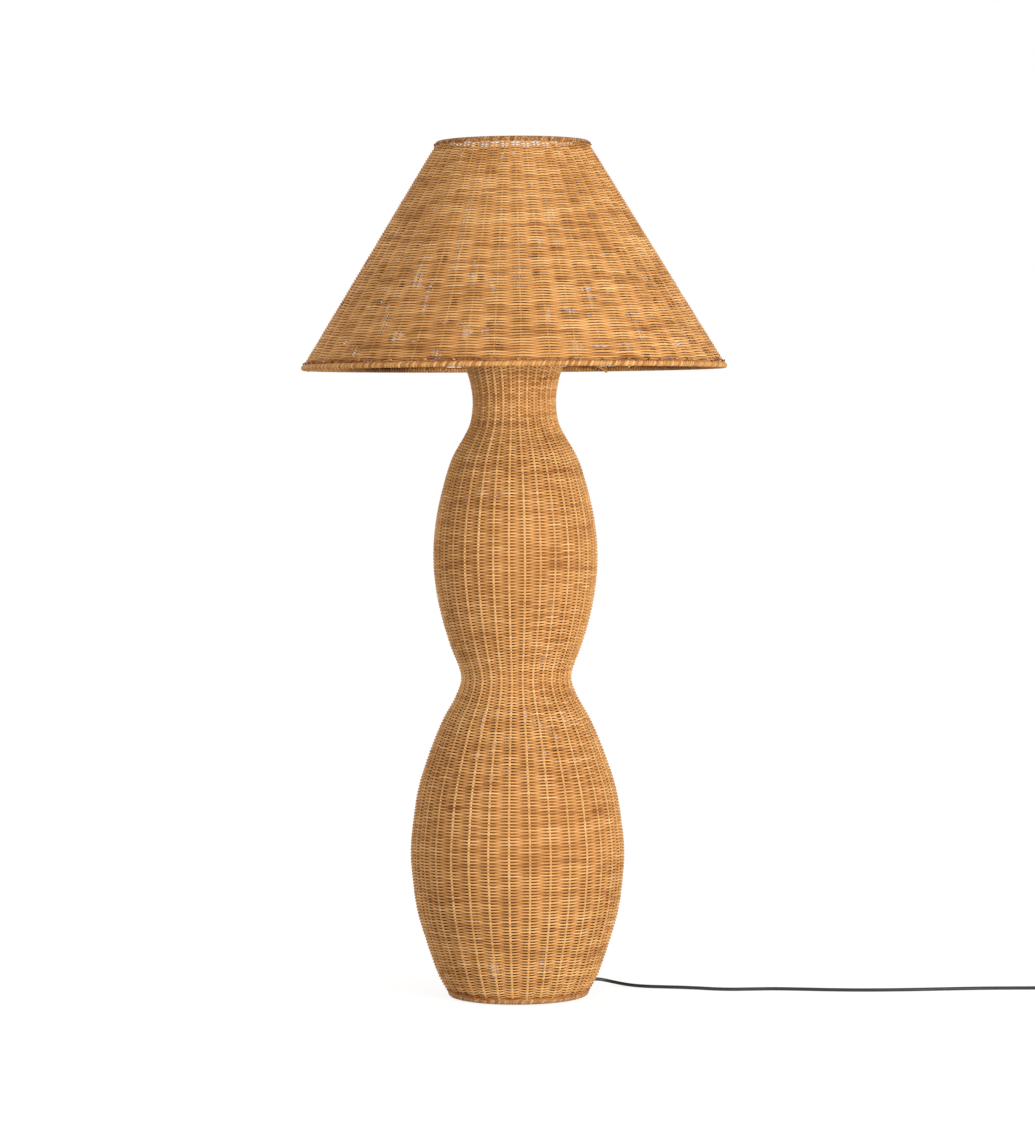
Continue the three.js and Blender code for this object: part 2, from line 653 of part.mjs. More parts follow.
// A hollow bulb, open at the foot of its neck, which stands in the cap.
function bulbGlass(capHigh) {
  const neckRadius = BULB_CAP_RADIUS - BULB_CAP_WALL - SEAT_GAP;
  const low = capHigh - BULB_NECK_INSERT;
  const neckHigh = capHigh + SEAT_GAP;
  const high = capHigh + BULB_GLASS_HEIGHT;
  const outer = BULB_OUTLINE_SHARES.map(([rise, reach]) => [
    BULB_RADIUS * reach, capHigh + BULB_GLASS_HEIGHT * rise,
  ]);
  const inner = outer.map(([r, z]) => [r - BULB_GLASS_WALL, z - BULB_GLASS_WALL / 2]).reverse();
  const bore = neckRadius - BULB_GLASS_WALL;
  return turnedSolid([
    [0, high - BULB_GLASS_WALL], ...inner, [bore, neckHigh], [bore, low],
    [neckRadius, low], [neckRadius, neckHigh], ...outer, [0, high],
  ], BULB_FACETS);
}

function bulbCap(low) {
  const inside = BULB_CAP_RADIUS - BULB_CAP_WALL;
  const hole = BULB_TIP_RADIUS + SEAT_GAP;
  const shoulderHigh = low + BULB_TIP_HEIGHT;
  const high = low + BULB_CAP_HEIGHT;
  return turned([
    [hole, low], [BULB_CAP_RADIUS - BULB_TIP_HEIGHT, low], [BULB_CAP_RADIUS, shoulderHigh],
    [BULB_CAP_RADIUS, high], [inside, high], [inside, shoulderHigh + BULB_CAP_WALL],
    [inside - BULB_TIP_HEIGHT, low + BULB_CAP_WALL], [hole, low + BULB_CAP_WALL],
  ], HOLDER_FACETS);
}

function makeBulb() {
  const bulb = new THREE.Group();
  const capLow = bulbLow + BULB_TIP_HEIGHT;
  piece(bulb, "bulb_glass", bulbGlass(capLow + BULB_CAP_HEIGHT), GLASS);
  piece(bulb, "bulb_cap", bulbCap(capLow), ZINC);
  const tip = turnedSolid([
    [0, bulbLow], [BULB_TIP_RADIUS / 2, bulbLow], [BULB_TIP_RADIUS, bulbLow + BULB_TIP_HEIGHT / 2],
    [BULB_TIP_RADIUS, capLow + BULB_TIP_HEIGHT / 2], [0, capLow + BULB_TIP_HEIGHT / 2],
  ], PIN_FACETS);
  piece(bulb, "bulb_tip", tip, BRASS);
  return bulb;
}

// Shade

const lowRing = new THREE.Vector2(SHADE_LOW_RING_RADIUS, SHADE_LOW_RING_Z);
const topRing = new THREE.Vector2(SHADE_TOP_RING_RADIUS, SHADE_TOP_RING_Z);
const shadeSlant = topRing.clone().sub(lowRing);
const shadeAlong = shadeSlant.clone().normalize();
const shadeOut = new THREE.Vector2(shadeAlong.y, -shadeAlong.x);
const bindingInside = SHADE_WALL / 2 + SEAT_GAP;
const bindingOutside = bindingInside + SHADE_BINDING_WALL;

// A point of the cone's section: a distance up the slant from the low ring, and one outwards.
function onShade(up, out) {
  return [
    lowRing.x + up * shadeAlong.x + out * shadeOut.x,
    lowRing.y + up * shadeAlong.y + out * shadeOut.y,
  ];
}

// A channel bent round a wire, open towards the weave, whose end it takes between its lips.
function shadeBinding(wireUp, wireRadius, direction) {
  const back = wireRadius + SEAT_GAP;
  const lip = back + SHADE_LIP;
  const section = [
    [-bindingOutside + SHADE_BINDING_WALL, -back - SHADE_BINDING_WALL],
    [bindingOutside - SHADE_BINDING_WALL, -back - SHADE_BINDING_WALL],
    [bindingOutside, -back], [bindingOutside, lip], [bindingInside, lip], [bindingInside, -back],
    [-bindingInside, -back], [-bindingInside, lip], [-bindingOutside, lip], [-bindingOutside, -back],
  ];
  const points = section.map(([out, up]) => onShade(wireUp + direction * up, out));
  return turned(direction > 0 ? points : points.reverse(), SHADE_STAKES);
}

function shadeWeave() {
  const low = SHADE_LOW_WIRE_RADIUS + SEAT_GAP;
  const high = shadeSlant.length() - SHADE_TOP_WIRE_RADIUS - SEAT_GAP;
  const half = SHADE_WALL / 2;
  const hollow = half - SHADE_RIB_RISE;
  const side = (sign) => [low, high].map((up) => (
    wovenRing(SHADE_STAKES, onShade(up, sign * half), onShade(up, sign * hollow))
  ));
  return wovenWall(side(1), side(-1));
}

function addShadeRibs(parent) {
  const out = -(SHADE_WALL / 2 + SEAT_GAP + SHADE_RIB_RADIUS);
  const lowEnd = SHADE_LOW_WIRE_RADIUS + SEAT_GAP + SHADE_LIP + SEAT_GAP;
  const topEnd = shadeSlant.length() - (SHADE_TOP_WIRE_RADIUS + SEAT_GAP + SHADE_LIP + SEAT_GAP);
  const ends = [onShade(lowEnd, out), onShade(topEnd, out)].map(([r, z]) => new THREE.Vector3(r, 0, z));
  for (let i = 0; i < SHADE_RIB_COUNT; i += 1) {
    const rib = piece(parent, `shade_rib_${i + 1}`, ringedTube(ends, SHADE_RIB_RADIUS, WIRE_SIDES), STEEL);
    rib.rotation.z = (i / SHADE_RIB_COUNT) * 2 * Math.PI;
  }
}

// An arm from the fitter ring's edge, level at first, then down to the low ring's binding.
function fitterArm() {
  const z = fitterLow + FITTER_THICKNESS / 2;
  const start = FITTER_RADIUS + SEAT_GAP;
  const end = onShade(0, -(bindingOutside + SEAT_GAP + ARM_RADIUS / 2));
  return tubeAlong([
    new THREE.Vector3(start, 0, z),
    new THREE.Vector3(start + ARM_LEVEL_LENGTH, 0, z),
    new THREE.Vector3(end[0], 0, end[1]),
  ], ARM_RADIUS, WIRE_SIDES, ARM_STEPS);
}

function addFitter(parent) {
  const bore = HOLDER_RADIUS + FITTER_CLEARANCE;
  const fitter = sleeve(FITTER_RADIUS, bore, fitterLow, fitterLow + FITTER_THICKNESS, HOLDER_FACETS);
  piece(parent, "fitter_ring", fitter, STEEL);
  for (let i = 0; i < ARM_COUNT; i += 1) {
    const arm = piece(parent, `fitter_arm_${i + 1}`, fitterArm(), STEEL);
    arm.rotation.z = ((i + 0.5) / ARM_COUNT) * 2 * Math.PI;
  }
}

function makeShade() {
  const shade = new THREE.Group();
  shade.rotation.z = SHADE_TURN;
  const top = shadeSlant.length();
  piece(shade, "shade_weave", shadeWeave(), RATTAN);
  const lowWire = wireRing(lowRing.x, lowRing.y, SHADE_LOW_WIRE_RADIUS, SHADE_STAKES);
  const topWire = wireRing(topRing.x, topRing.y, SHADE_TOP_WIRE_RADIUS, SHADE_STAKES);
  piece(shade, "shade_low_wire", lowWire, STEEL);
  piece(shade, "shade_top_wire", topWire, STEEL);
  piece(shade, "shade_low_binding", shadeBinding(0, SHADE_LOW_WIRE_RADIUS, 1), RATTAN);
  piece(shade, "shade_top_binding", shadeBinding(top, SHADE_TOP_WIRE_RADIUS, -1), RATTAN_BINDING);
  addShadeRibs(shade);
  addFitter(shade);
  return shade;
}

// Lead

function leadGland() {
  const taper = solidOf(onGlandAxis(turnedSolid([
    [0, -BODY_WALL], [GLAND_COLLAR_RADIUS, -BODY_WALL], [GLAND_COLLAR_RADIUS, GLAND_COLLAR_REACH],
    [GLAND_TIP_RADIUS, GLAND_REACH], [0, GLAND_REACH],
  ], GLAND_FACETS)));
  const body = bodyStations.filter(([, z]) => z <= BELLY_Z);
  const skin = body.map((_, i) => insideBody(i / (bodyStations.length - 1), -SEAT_GAP));
  const keepOut = solidOf(turnedSolid([
    [0, -CUT_OVERRUN], [footBindingCentre[0], -CUT_OVERRUN], ...skin, [0, BELLY_Z],
  ], BODY_STAKES).rotateZ(BODY_TURN));
  const barrel = solidOf(onGlandAxis(turnedSolid([
    [0, -BODY_WALL / 2], [GLAND_BARREL_RADIUS, -BODY_WALL / 2],
    [GLAND_BARREL_RADIUS, GLAND_COLLAR_REACH], [0, GLAND_COLLAR_REACH],
  ], GLAND_FACETS)));
  const bore = solidOf(onGlandAxis(turnedSolid([
    [0, -BODY_WALL - CUT_OVERRUN], [leadRadius + SEAT_GAP, -BODY_WALL - CUT_OVERRUN],
    [leadRadius + SEAT_GAP, GLAND_REACH + CUT_OVERRUN], [0, GLAND_REACH + CUT_OVERRUN],
  ], GLAND_FACETS)));
  return geometryOf(taper.subtract(keepOut).add(barrel).subtract(bore));
}

// The lead inside the lamp: from the gland's mouth, in over the base plate, up the tube to the holder.
function innerLead() {
  const end = new THREE.Vector3(0, 0, barrelLow - 2 * SEAT_GAP);
  const inside = INNER_LEAD_POINTS.map(([radius, z]) => onAzimuth(radius, z));
  const start = glandSeat.clone().addScaledVector(glandDirection, -BODY_WALL);
  return ringedTube([glandTip, start, ...inside, end], leadRadius, LEAD_SIDES);
}

function route(points) {
  return points.map(([x, y, z]) => new THREE.Vector3(x, y, z));
}

function alongX(point, reach) {
  return point.clone().setX(point.x + reach);
}

function leadRun() {
  const start = glandTip.clone().addScaledVector(glandDirection, SEAT_GAP);
  const end = new THREE.Vector3(SWITCH_X - SWITCH_LENGTH / 2 - SEAT_GAP, SWITCH_Y, SWITCH_LEAD_Z);
  const first = start.clone().addScaledVector(glandDirection, LEAD_DIAMETER);
  return leadAlong([start, first, ...route(LEAD_POINTS), alongX(end, -2 * LEAD_DIAMETER), end]);
}

// Foot switch, with the lead along its local X

const coverLow = SWITCH_BASE_HEIGHT + SEAT_GAP;
const coverHigh = coverLow + SWITCH_COVER_HEIGHT;
const coverRoof = coverHigh - SWITCH_WALL;
const buttonFlangeHigh = coverRoof - SEAT_GAP;
const buttonFlangeLow = buttonFlangeHigh - SWITCH_BUTTON_FLANGE;

function stadiumShape(length, width) {
  const radius = width / 2;
  const straight = length / 2 - radius;
  const points = [];
  for (const [end, from] of [[1, -Math.PI / 2], [-1, Math.PI / 2]]) {
    for (let i = 0; i <= SWITCH_END_STEPS; i += 1) {
      const angle = from + (i / SWITCH_END_STEPS) * Math.PI;
      points.push(new THREE.Vector2(end * straight + radius * Math.cos(angle), radius * Math.sin(angle)));
    }
  }
  return new THREE.Shape(points);
}

// The switch's outline, drawn in by an inset.
function switchShape(inset) {
  return stadiumShape(SWITCH_LENGTH - 2 * inset, SWITCH_WIDTH - 2 * inset);
}

function switchBlock(inset, low, high) {
  return new THREE.ExtrudeGeometry(switchShape(inset), {
    depth: high - low,
    bevelEnabled: false,
  }).translate(0, 0, low);
}

function disc(radius, low, high, facets) {
  return turnedSolid([[0, low], [radius, low], [radius, high], [0, high]], facets);
}

// A tray whose middle block stops the button.
function switchBase() {
  const blockHigh = buttonFlangeLow - SWITCH_TRAVEL - SEAT_GAP;
  return geometryOf(solidOf(switchBlock(0, 0, SWITCH_BASE_HEIGHT))
    .subtract(solidOf(switchBlock(SWITCH_WALL, SWITCH_FLOOR, SWITCH_BASE_HEIGHT + CUT_OVERRUN)))
    .add(solidOf(disc(SWITCH_BLOCK_RADIUS, SWITCH_FLOOR / 2, blockHigh, GLAND_FACETS))));
}

// A cap with upright walls and a sloped edge, open below and round the button.
function switchCover() {
  const block = new THREE.ExtrudeGeometry(switchShape(SWITCH_WALL), {
    depth: SWITCH_COVER_HEIGHT,
    bevelEnabled: true,
    bevelSegments: 1,
    bevelSize: SWITCH_WALL,
    bevelThickness: SWITCH_WALL,
  }).translate(0, 0, coverLow - SWITCH_WALL);
  const holeRadius = SWITCH_BUTTON_RADIUS + SEAT_GAP;
  const buttonHole = disc(holeRadius, coverLow, coverHigh + CUT_OVERRUN, HOLDER_FACETS);
  return geometryOf(solidOf(block)
    .subtract(solidOf(switchBlock(-CUT_OVERRUN, coverLow - SWITCH_COVER_HEIGHT, coverLow)))
    .subtract(solidOf(switchBlock(SWITCH_WALL, coverLow - CUT_OVERRUN, coverRoof)))
    .subtract(solidOf(buttonHole)));
}

function switchButton() {
  const flange = SWITCH_BUTTON_RADIUS + SWITCH_WALL;
  const high = coverHigh + SWITCH_BUTTON_RISE;
  return turnedSolid([
    [0, buttonFlangeLow], [flange, buttonFlangeLow], [flange, buttonFlangeHigh],
    [SWITCH_BUTTON_RADIUS, buttonFlangeHigh], [SWITCH_BUTTON_RADIUS, high - SWITCH_BUTTON_RISE / 2],
    [SWITCH_BUTTON_RADIUS - SWITCH_BUTTON_RISE / 2, high], [0, high],
  ], HOLDER_FACETS);
}

function makeSwitch() {
  const group = new THREE.Group();
  group.position.set(SWITCH_X, SWITCH_Y, 0);
  piece(group, "switch_base", switchBase(), BLACK_PLASTIC);
  piece(group, "switch_cover", switchCover(), BLACK_PLASTIC);
  piece(group, "switch_button", switchButton(), BLACK_PLASTIC);
  return group;
}

// Coil of spare lead: it winds in on the floor, climbs a layer where it turns, and winds out again

const coilOuterRadius = COIL_INNER_RADIUS + (COIL_PITCH * COIL_TURNS) / 2;
const coilY = SWITCH_Y - coilOuterRadius;
const coilLow = COIL_LIFT + leadRadius;
const coilHigh = coilLow + COIL_PITCH;

function coilPoints() {
  const points = [];
  const steps = COIL_TURNS * LOOP_STEPS;
  for (let i = 0; i <= steps; i += 1) {
    const turn = i / LOOP_STEPS;
    const past = turn - COIL_TURNS / 2;
    const radius = COIL_INNER_RADIUS + COIL_PITCH * Math.abs(past);
    const angle = Math.PI / 2 - turn * 2 * Math.PI;
    const climb = THREE.MathUtils.smoothstep(past, -COIL_CLIMB_TURN_SHARE / 2, COIL_CLIMB_TURN_SHARE / 2);
    const z = coilLow + COIL_PITCH * climb;
    points.push(new THREE.Vector3(COIL_X + radius * Math.cos(angle), coilY + radius * Math.sin(angle), z));
  }
  const first = points[0].clone().setX(points[0].x - LEAD_DIAMETER);
  const last = points[points.length - 1].clone();
  return [first, ...points, last.setX(last.x - LEAD_DIAMETER)];
}

function leastGap(points) {
  let least = Infinity;
  for (let i = 0; i < points.length; i += 1) {
    for (let k = i + LOOP_STEPS / 2; k < points.length; k += 1) {
      least = Math.min(least, points[i].distanceTo(points[k]) - LEAD_DIAMETER);
    }
  }
  return least;
}

// A strap round the coil's bundle of turns, on its far side from the lamp.
function coilTie() {
  const low = COIL_LIFT - SEAT_GAP;
  const high = coilHigh + leadRadius + SEAT_GAP;
  const near = COIL_INNER_RADIUS - leadRadius - SEAT_GAP;
  const far = coilOuterRadius + leadRadius + SEAT_GAP;
  const shape = new THREE.Shape(rectangle(near, low, far, high, TIE_THICKNESS));
  shape.holes.push(new THREE.Path(rectangle(near, low, far, high, 0)));
  return new THREE.ExtrudeGeometry(shape, { depth: TIE_WIDTH, bevelEnabled: false })
    .translate(0, 0, -TIE_WIDTH / 2)
    .rotateX(Math.PI / 2);
}

function rectangle(left, low, right, high, margin) {
  const corners = [[left, low, -1, -1], [right, low, 1, -1], [right, high, 1, 1], [left, high, -1, 1]];
  return corners.map(([x, y, outX, outY]) => new THREE.Vector2(x + outX * margin, y + outY * margin));
}

// Plug, with its pins along its local +X

function plugBody() {
  const half = PLUG_WIDTH / 2 - PLUG_BEVEL;
  const tail = PLUG_TAIL_WIDTH / 2 - PLUG_BEVEL;
  const outline = new THREE.Shape([
    [-PLUG_BODY_LENGTH + PLUG_BEVEL, -tail], [-PLUG_HEAD_LENGTH, -half], [-PLUG_BEVEL, -half],
    [-PLUG_BEVEL, half], [-PLUG_HEAD_LENGTH, half], [-PLUG_BODY_LENGTH + PLUG_BEVEL, tail],
  ].map(([x, y]) => new THREE.Vector2(x, y)));
  const depth = PLUG_THICKNESS - 2 * PLUG_BEVEL;
  const head = new THREE.ExtrudeGeometry(outline, {
    depth,
    bevelEnabled: true,
    bevelSegments: 2,
    bevelSize: PLUG_BEVEL,
    bevelThickness: PLUG_BEVEL,
  }).translate(0, 0, -depth / 2);
  const boot = turnedSolid([
    [0, 0], [PLUG_BOOT_TIP_RADIUS, 0], [PLUG_BOOT_RADIUS, PLUG_BOOT_LENGTH],
    [PLUG_BOOT_RADIUS, PLUG_BOOT_LENGTH + PLUG_HEAD_LENGTH], [0, PLUG_BOOT_LENGTH + PLUG_HEAD_LENGTH],
  ], GLAND_FACETS).rotateY(Math.PI / 2).translate(-PLUG_BODY_LENGTH - PLUG_BOOT_LENGTH, 0, 0);
  return geometryOf(solidOf(head).add(solidOf(boot)));
}

function plugPin() {
  return turnedSolid([
    [0, SEAT_GAP], [PIN_RADIUS, SEAT_GAP], [PIN_RADIUS, PIN_LENGTH - PIN_RADIUS / 2],
    [PIN_RADIUS / 2, PIN_LENGTH], [0, PIN_LENGTH],
  ], PIN_FACETS).rotateY(Math.PI / 2);
}

function makePlug() {
  const plug = new THREE.Group();
  plug.position.set(PLUG_X, PLUG_Y, PLUG_THICKNESS / 2);
  plug.rotation.z = Math.PI;
  piece(plug, "plug_body", plugBody(), BLACK_PLASTIC);
  for (const side of [-1, 1]) {
    const pin = piece(plug, side < 0 ? "plug_pin_1" : "plug_pin_2", plugPin(), ZINC);
    pin.position.y = (side * PIN_SPACING) / 2;
  }
  return plug;
}

function makeLead() {
  const lead = new THREE.Group();
  piece(lead, "lead_gland", leadGland(), RUBBER);
  piece(lead, "inner_lead", innerLead(), LEAD_SHEATH);
  piece(lead, "lead_run", leadRun(), LEAD_SHEATH);
  lead.add(makeSwitch());
  const turns = coilPoints();
  console.log(`least gap of the coil to itself: ${leastGap(turns).toFixed(2)} mm`);
  const linkStart = new THREE.Vector3(SWITCH_X + SWITCH_LENGTH / 2 + SEAT_GAP, SWITCH_Y, SWITCH_LEAD_Z);
  const coilStart = alongX(turns[0], -SEAT_GAP);
  const link = [linkStart, alongX(linkStart, LEAD_DIAMETER), alongX(coilStart, -LEAD_DIAMETER), coilStart];
  piece(lead, "lead_link", leadAlong(link), LEAD_SHEATH);
  piece(lead, "lead_coil", ringedTube(turns, leadRadius, LOOP_SIDES), LEAD_SHEATH);
  const tie = piece(lead, "coil_tie", coilTie(), BLACK_PLASTIC);
  tie.position.set(COIL_X, coilY, 0);
  const coilEnd = alongX(turns[turns.length - 1], -SEAT_GAP);
  const plugEndX = PLUG_X + PLUG_BODY_LENGTH + PLUG_BOOT_LENGTH + SEAT_GAP;
  const plugEnd = new THREE.Vector3(plugEndX, PLUG_Y, PLUG_THICKNESS / 2);
  const tail = [
    coilEnd, alongX(coilEnd, -LEAD_DIAMETER), ...route(TAIL_POINTS),
    alongX(plugEnd, LEAD_DIAMETER), plugEnd,
  ];
  piece(lead, "lead_tail", leadAlong(tail), LEAD_SHEATH);
  lead.add(makePlug());
  return lead;
}

const group = new THREE.Group();
group.add(makeBody(), makeHolder(), makeBulb(), makeShade(), makeLead());

export default group;
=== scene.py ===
"""Rattan floor lamp: a body with two bellies and a cone shade, both woven, and a mains lead.

Everything is in metres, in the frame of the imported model, with +Z up and the lamp facing -Y.
"""

import json
import logging
import math
from collections.abc import Sequence
from dataclasses import dataclass, field
from enum import Enum
from functools import cache

import bpy
import numpy as np
from mathutils import Matrix, Vector


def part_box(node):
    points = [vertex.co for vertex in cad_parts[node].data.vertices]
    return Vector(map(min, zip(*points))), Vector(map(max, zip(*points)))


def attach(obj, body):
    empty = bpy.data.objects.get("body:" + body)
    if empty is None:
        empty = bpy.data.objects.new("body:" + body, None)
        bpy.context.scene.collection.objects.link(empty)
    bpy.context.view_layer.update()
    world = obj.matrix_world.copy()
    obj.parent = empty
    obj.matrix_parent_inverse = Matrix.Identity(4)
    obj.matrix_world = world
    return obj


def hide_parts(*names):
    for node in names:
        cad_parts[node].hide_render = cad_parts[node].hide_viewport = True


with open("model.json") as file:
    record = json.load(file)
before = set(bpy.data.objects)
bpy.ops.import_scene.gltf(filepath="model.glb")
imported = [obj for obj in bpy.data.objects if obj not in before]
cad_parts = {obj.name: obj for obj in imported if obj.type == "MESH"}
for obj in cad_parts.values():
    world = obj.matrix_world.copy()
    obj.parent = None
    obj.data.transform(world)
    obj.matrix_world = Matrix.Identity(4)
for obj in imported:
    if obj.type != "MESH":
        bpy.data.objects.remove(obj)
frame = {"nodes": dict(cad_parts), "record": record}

LOG = logging.getLogger("rattan_lamp")
MM = 0.001
TURN = 2 * math.pi

Rgb = tuple[float, float, float]
Point = tuple[float, float, float]
Span = tuple[float, float]
Corners = tuple[tuple[float, float], ...]
Socket = bpy.types.NodeSocket
Value = Socket | float | int | tuple | str

# A corner nearer the axis than this lies on it.
ON_AXIS = MM / 100
# The whole range of a share, and the ranges that a noise mostly keeps to.
WHOLE: Span = (0.0, 1.0)
NOISE_WIDE: Span = (0.25, 0.75)
NOISE_NARROW: Span = (0.3, 0.7)


def linear(red: int, green: int, blue: int) -> Rgb:
    """Turns a colour as a screen shows it into the shader's linear one.

    Args:
        red: Red, from 0 to 255.
        green: Green, from 0 to 255.
        blue: Blue, from 0 to 255.

    Returns:
        The linear colour, each part from 0 to 1.
    """
    knee, slope, offset, power = 0.04045, 12.92, 0.055, 2.4
    shares = (red / 255, green / 255, blue / 255)
    return tuple(c / slope if c <= knee else ((c + offset) / (1 + offset)) ** power for c in shares)


# Node trees


class NodeGraph:
    """A node tree written as sums, with a method for each sort of node that the lamp needs."""

    def __init__(self, tree: bpy.types.NodeTree) -> None:
        """Takes the tree that the nodes go into."""
        self.tree = tree

    def add(self, kind: str, inputs: dict[str | int, Value] | None = None, **settings) -> bpy.types.Node:
        """Adds a node.

        Args:
            kind: The node's type.
            inputs: A value or a socket for each input, by its name or number.
            **settings: The node's own settings.

        Returns:
            The new node.
        """
        node = self.tree.nodes.new(kind)
        for name, value in settings.items():
            setattr(node, name, value)
        for key, value in (inputs or {}).items():
            if isinstance(value, bpy.types.NodeSocket):
                self.tree.links.new(value, node.inputs[key])
            else:
                node.inputs[key].default_value = value
        return node

    def maths(self, operation: str, *values: Value) -> Socket:
        """Adds a sum of numbers and returns its result."""
        return self.add("ShaderNodeMath", dict(enumerate(values)), operation=operation).outputs[0]

    def times(self, *values: Value) -> Socket:
        """Multiplies numbers.

        Args:
            *values: The numbers, at least one.

        Returns:
            Their product.
        """
        product = values[0]
        for value in values[1:]:
            product = self.maths("MULTIPLY", product, value)
        return product

    def plus(self, *values: Value) -> Socket:
        """Adds numbers up.

        Args:
            *values: The numbers, at least one.

        Returns:
            Their sum.
        """
        total = values[0]
        for value in values[1:]:
            total = self.maths("ADD", total, value)
        return total

    def combined(self, x: Value, y: Value, z: Value) -> Socket:
        """Makes a vector of three numbers."""
        return self.add("ShaderNodeCombineXYZ", {0: x, 1: y, 2: z}).outputs[0]

    def separated(self, vector: Socket) -> Sequence[Socket]:
        """Splits a vector into its three numbers."""
        return self.add("ShaderNodeSeparateXYZ", {0: vector}).outputs

    def stretched(self, vector: Socket, x: Value, y: Value, z: Value) -> Socket:
        """Scales a vector along each axis."""
        scale = self.combined(x, y, z)
        return self.add("ShaderNodeVectorMath", {0: vector, 1: scale}, operation="MULTIPLY").outputs[0]

    def scaled(self, vector: Socket, scale: Value) -> Socket:
        """Scales a vector alike along every axis."""
        return self.stretched(vector, scale, scale, scale)

    def noise(self, vector: Socket, seed: Value, detail: float = 1.0) -> Socket:
        """Adds a smooth noise of a point.

        Args:
            vector: The point, already scaled to the noise's grain.
            seed: A number that picks the noise.
            detail: How many finer layers it has.

        Returns:
            The noise, around 0.5.
        """
        inputs = {"Vector": vector, "W": seed, "Scale": 1.0, "Detail": detail}
        return self.add("ShaderNodeTexNoise", inputs, noise_dimensions="4D").outputs["Fac"]

    def mapped(self, value: Value, source: Span, target: Span) -> Socket:
        """Moves a number smoothly from one range to another and holds it there.

        Args:
            value: The number.
            source: The range that it comes from.
            target: The range that it goes to.

        Returns:
            The number in the target range.
        """
        inputs = {"Value": value, "From Min": source[0], "From Max": source[1]}
        inputs |= {"To Min": target[0], "To Max": target[1]}
        return self.add("ShaderNodeMapRange", inputs, interpolation_type="SMOOTHSTEP").outputs[0]


def emptied(owner: bpy.types.Material | bpy.types.World) -> NodeGraph:
    """Empties the node tree of a material or of the world.

    Args:
        owner: The material or the world.

    Returns:
        Its node tree, without nodes.
    """
    owner.use_nodes = True
    owner.node_tree.nodes.clear()
    return NodeGraph(owner.node_tree)


class PartTree(NodeGraph):
    """A Geometry Nodes tree with named sizes, which grows a piece from a line."""

    def __init__(self, name: str, sizes: dict[str, float | int]) -> None:
        """Makes the tree and its named inputs.

        Args:
            name: The tree's name.
            sizes: Each input's name and default, a whole number where the default is one.
        """
        super().__init__(bpy.data.node_groups.new(name, "GeometryNodeTree"))
        interface = self.tree.interface
        interface.new_socket("Geometry", in_out="INPUT", socket_type="NodeSocketGeometry")
        interface.new_socket("Geometry", in_out="OUTPUT", socket_type="NodeSocketGeometry")
        for size, default in sizes.items():
            kind = "NodeSocketInt" if isinstance(default, int) else "NodeSocketFloat"
            interface.new_socket(size, in_out="INPUT", socket_type=kind).default_value = default
        self.inputs = self.tree.nodes.new("NodeGroupInput").outputs

    def size(self, name: str) -> Socket:
        """Returns the named input."""
        return self.inputs[name]

    def line(self) -> Socket:
        """Returns the line that the piece grows from, as a curve."""
        return self.add("GeometryNodeMeshToCurve", {0: self.inputs["Geometry"]}).outputs[0]

    def index(self) -> Socket:
        """Returns the number of each point."""
        return self.add("GeometryNodeInputIndex").outputs[0]

    def points(self, count: Value) -> Socket:
        """Makes a curve with a number of points."""
        line = self.add("GeometryNodeCurvePrimitiveLine").outputs[0]
        return self.add("GeometryNodeResampleCurve", {"Curve": line, "Count": count}).outputs[0]

    def on_line(self, line: Socket, share: Value) -> tuple[Socket, Socket]:
        """Finds a place on the line.

        Args:
            line: The curve.
            share: How far along it, from 0 to 1.

        Returns:
            The place and the line's direction there.
        """
        inputs = {"Curves": line, "Factor": share}
        sample = self.add("GeometryNodeSampleCurve", inputs, mode="FACTOR", use_all_curves=True)
        return sample.outputs["Position"], sample.outputs["Tangent"]

    def placed(self, geometry: Socket, position: Socket) -> Socket:
        """Moves each point to a place."""
        inputs = {"Geometry": geometry, "Position": position}
        return self.add("GeometryNodeSetPosition", inputs).outputs[0]

    def marked(self, geometry: Socket, name: str, value: Value) -> Socket:
        """Stores a number on each point under a name."""
        inputs = {"Geometry": geometry, "Name": name, "Value": value}
        return self.add("GeometryNodeStoreNamedAttribute", inputs).outputs[0]

    def tube(self, curve: Socket, profile: Socket, scale: Value) -> Socket:
        """Sweeps a section along a curve.

        Args:
            curve: The curve.
            profile: The section.
            scale: The section's scale at each point.

        Returns:
            The closed tube.
        """
        inputs = {"Curve": curve, "Profile Curve": profile, "Scale": scale, "Fill Caps": True}
        return self.add("GeometryNodeCurveToMesh", inputs).outputs[0]

    def circle(self, radius: Value, sides: Value) -> Socket:
        """Makes a round section."""
        inputs = {"Resolution": sides, "Radius": radius}
        return self.add("GeometryNodeCurvePrimitiveCircle", inputs).outputs[0]

    def copied(self, points: Socket, instance: Socket, rotation: Value, scale: Value) -> Socket:
        """Puts a copy of a piece on each point.

        Args:
            points: The points.
            instance: The piece.
            rotation: Each copy's turns about X, Y and Z.
            scale: Each copy's scale along X, Y and Z.

        Returns:
            The copies.
        """
        turn = self.add("FunctionNodeEulerToRotation", {0: rotation}).outputs[0]
        inputs = {"Points": points, "Instance": instance, "Rotation": turn, "Scale": scale}
        return self.add("GeometryNodeInstanceOnPoints", inputs).outputs[0]

    def finish(self, geometry: Socket, material: bpy.types.Material) -> None:
        """Ends the tree with real faces, smooth and in their material.

        Args:
            geometry: What the tree has made.
            material: Its material.
        """
        real = self.add("GeometryNodeRealizeInstances", {0: geometry}).outputs[0]
        smooth = self.add("GeometryNodeSetShadeSmooth", {"Geometry": real}).outputs[0]
        coated = self.add("GeometryNodeSetMaterial", {"Geometry": smooth, "Material": material}).outputs[0]
        self.add("NodeGroupOutput", {0: coated})


# Pieces


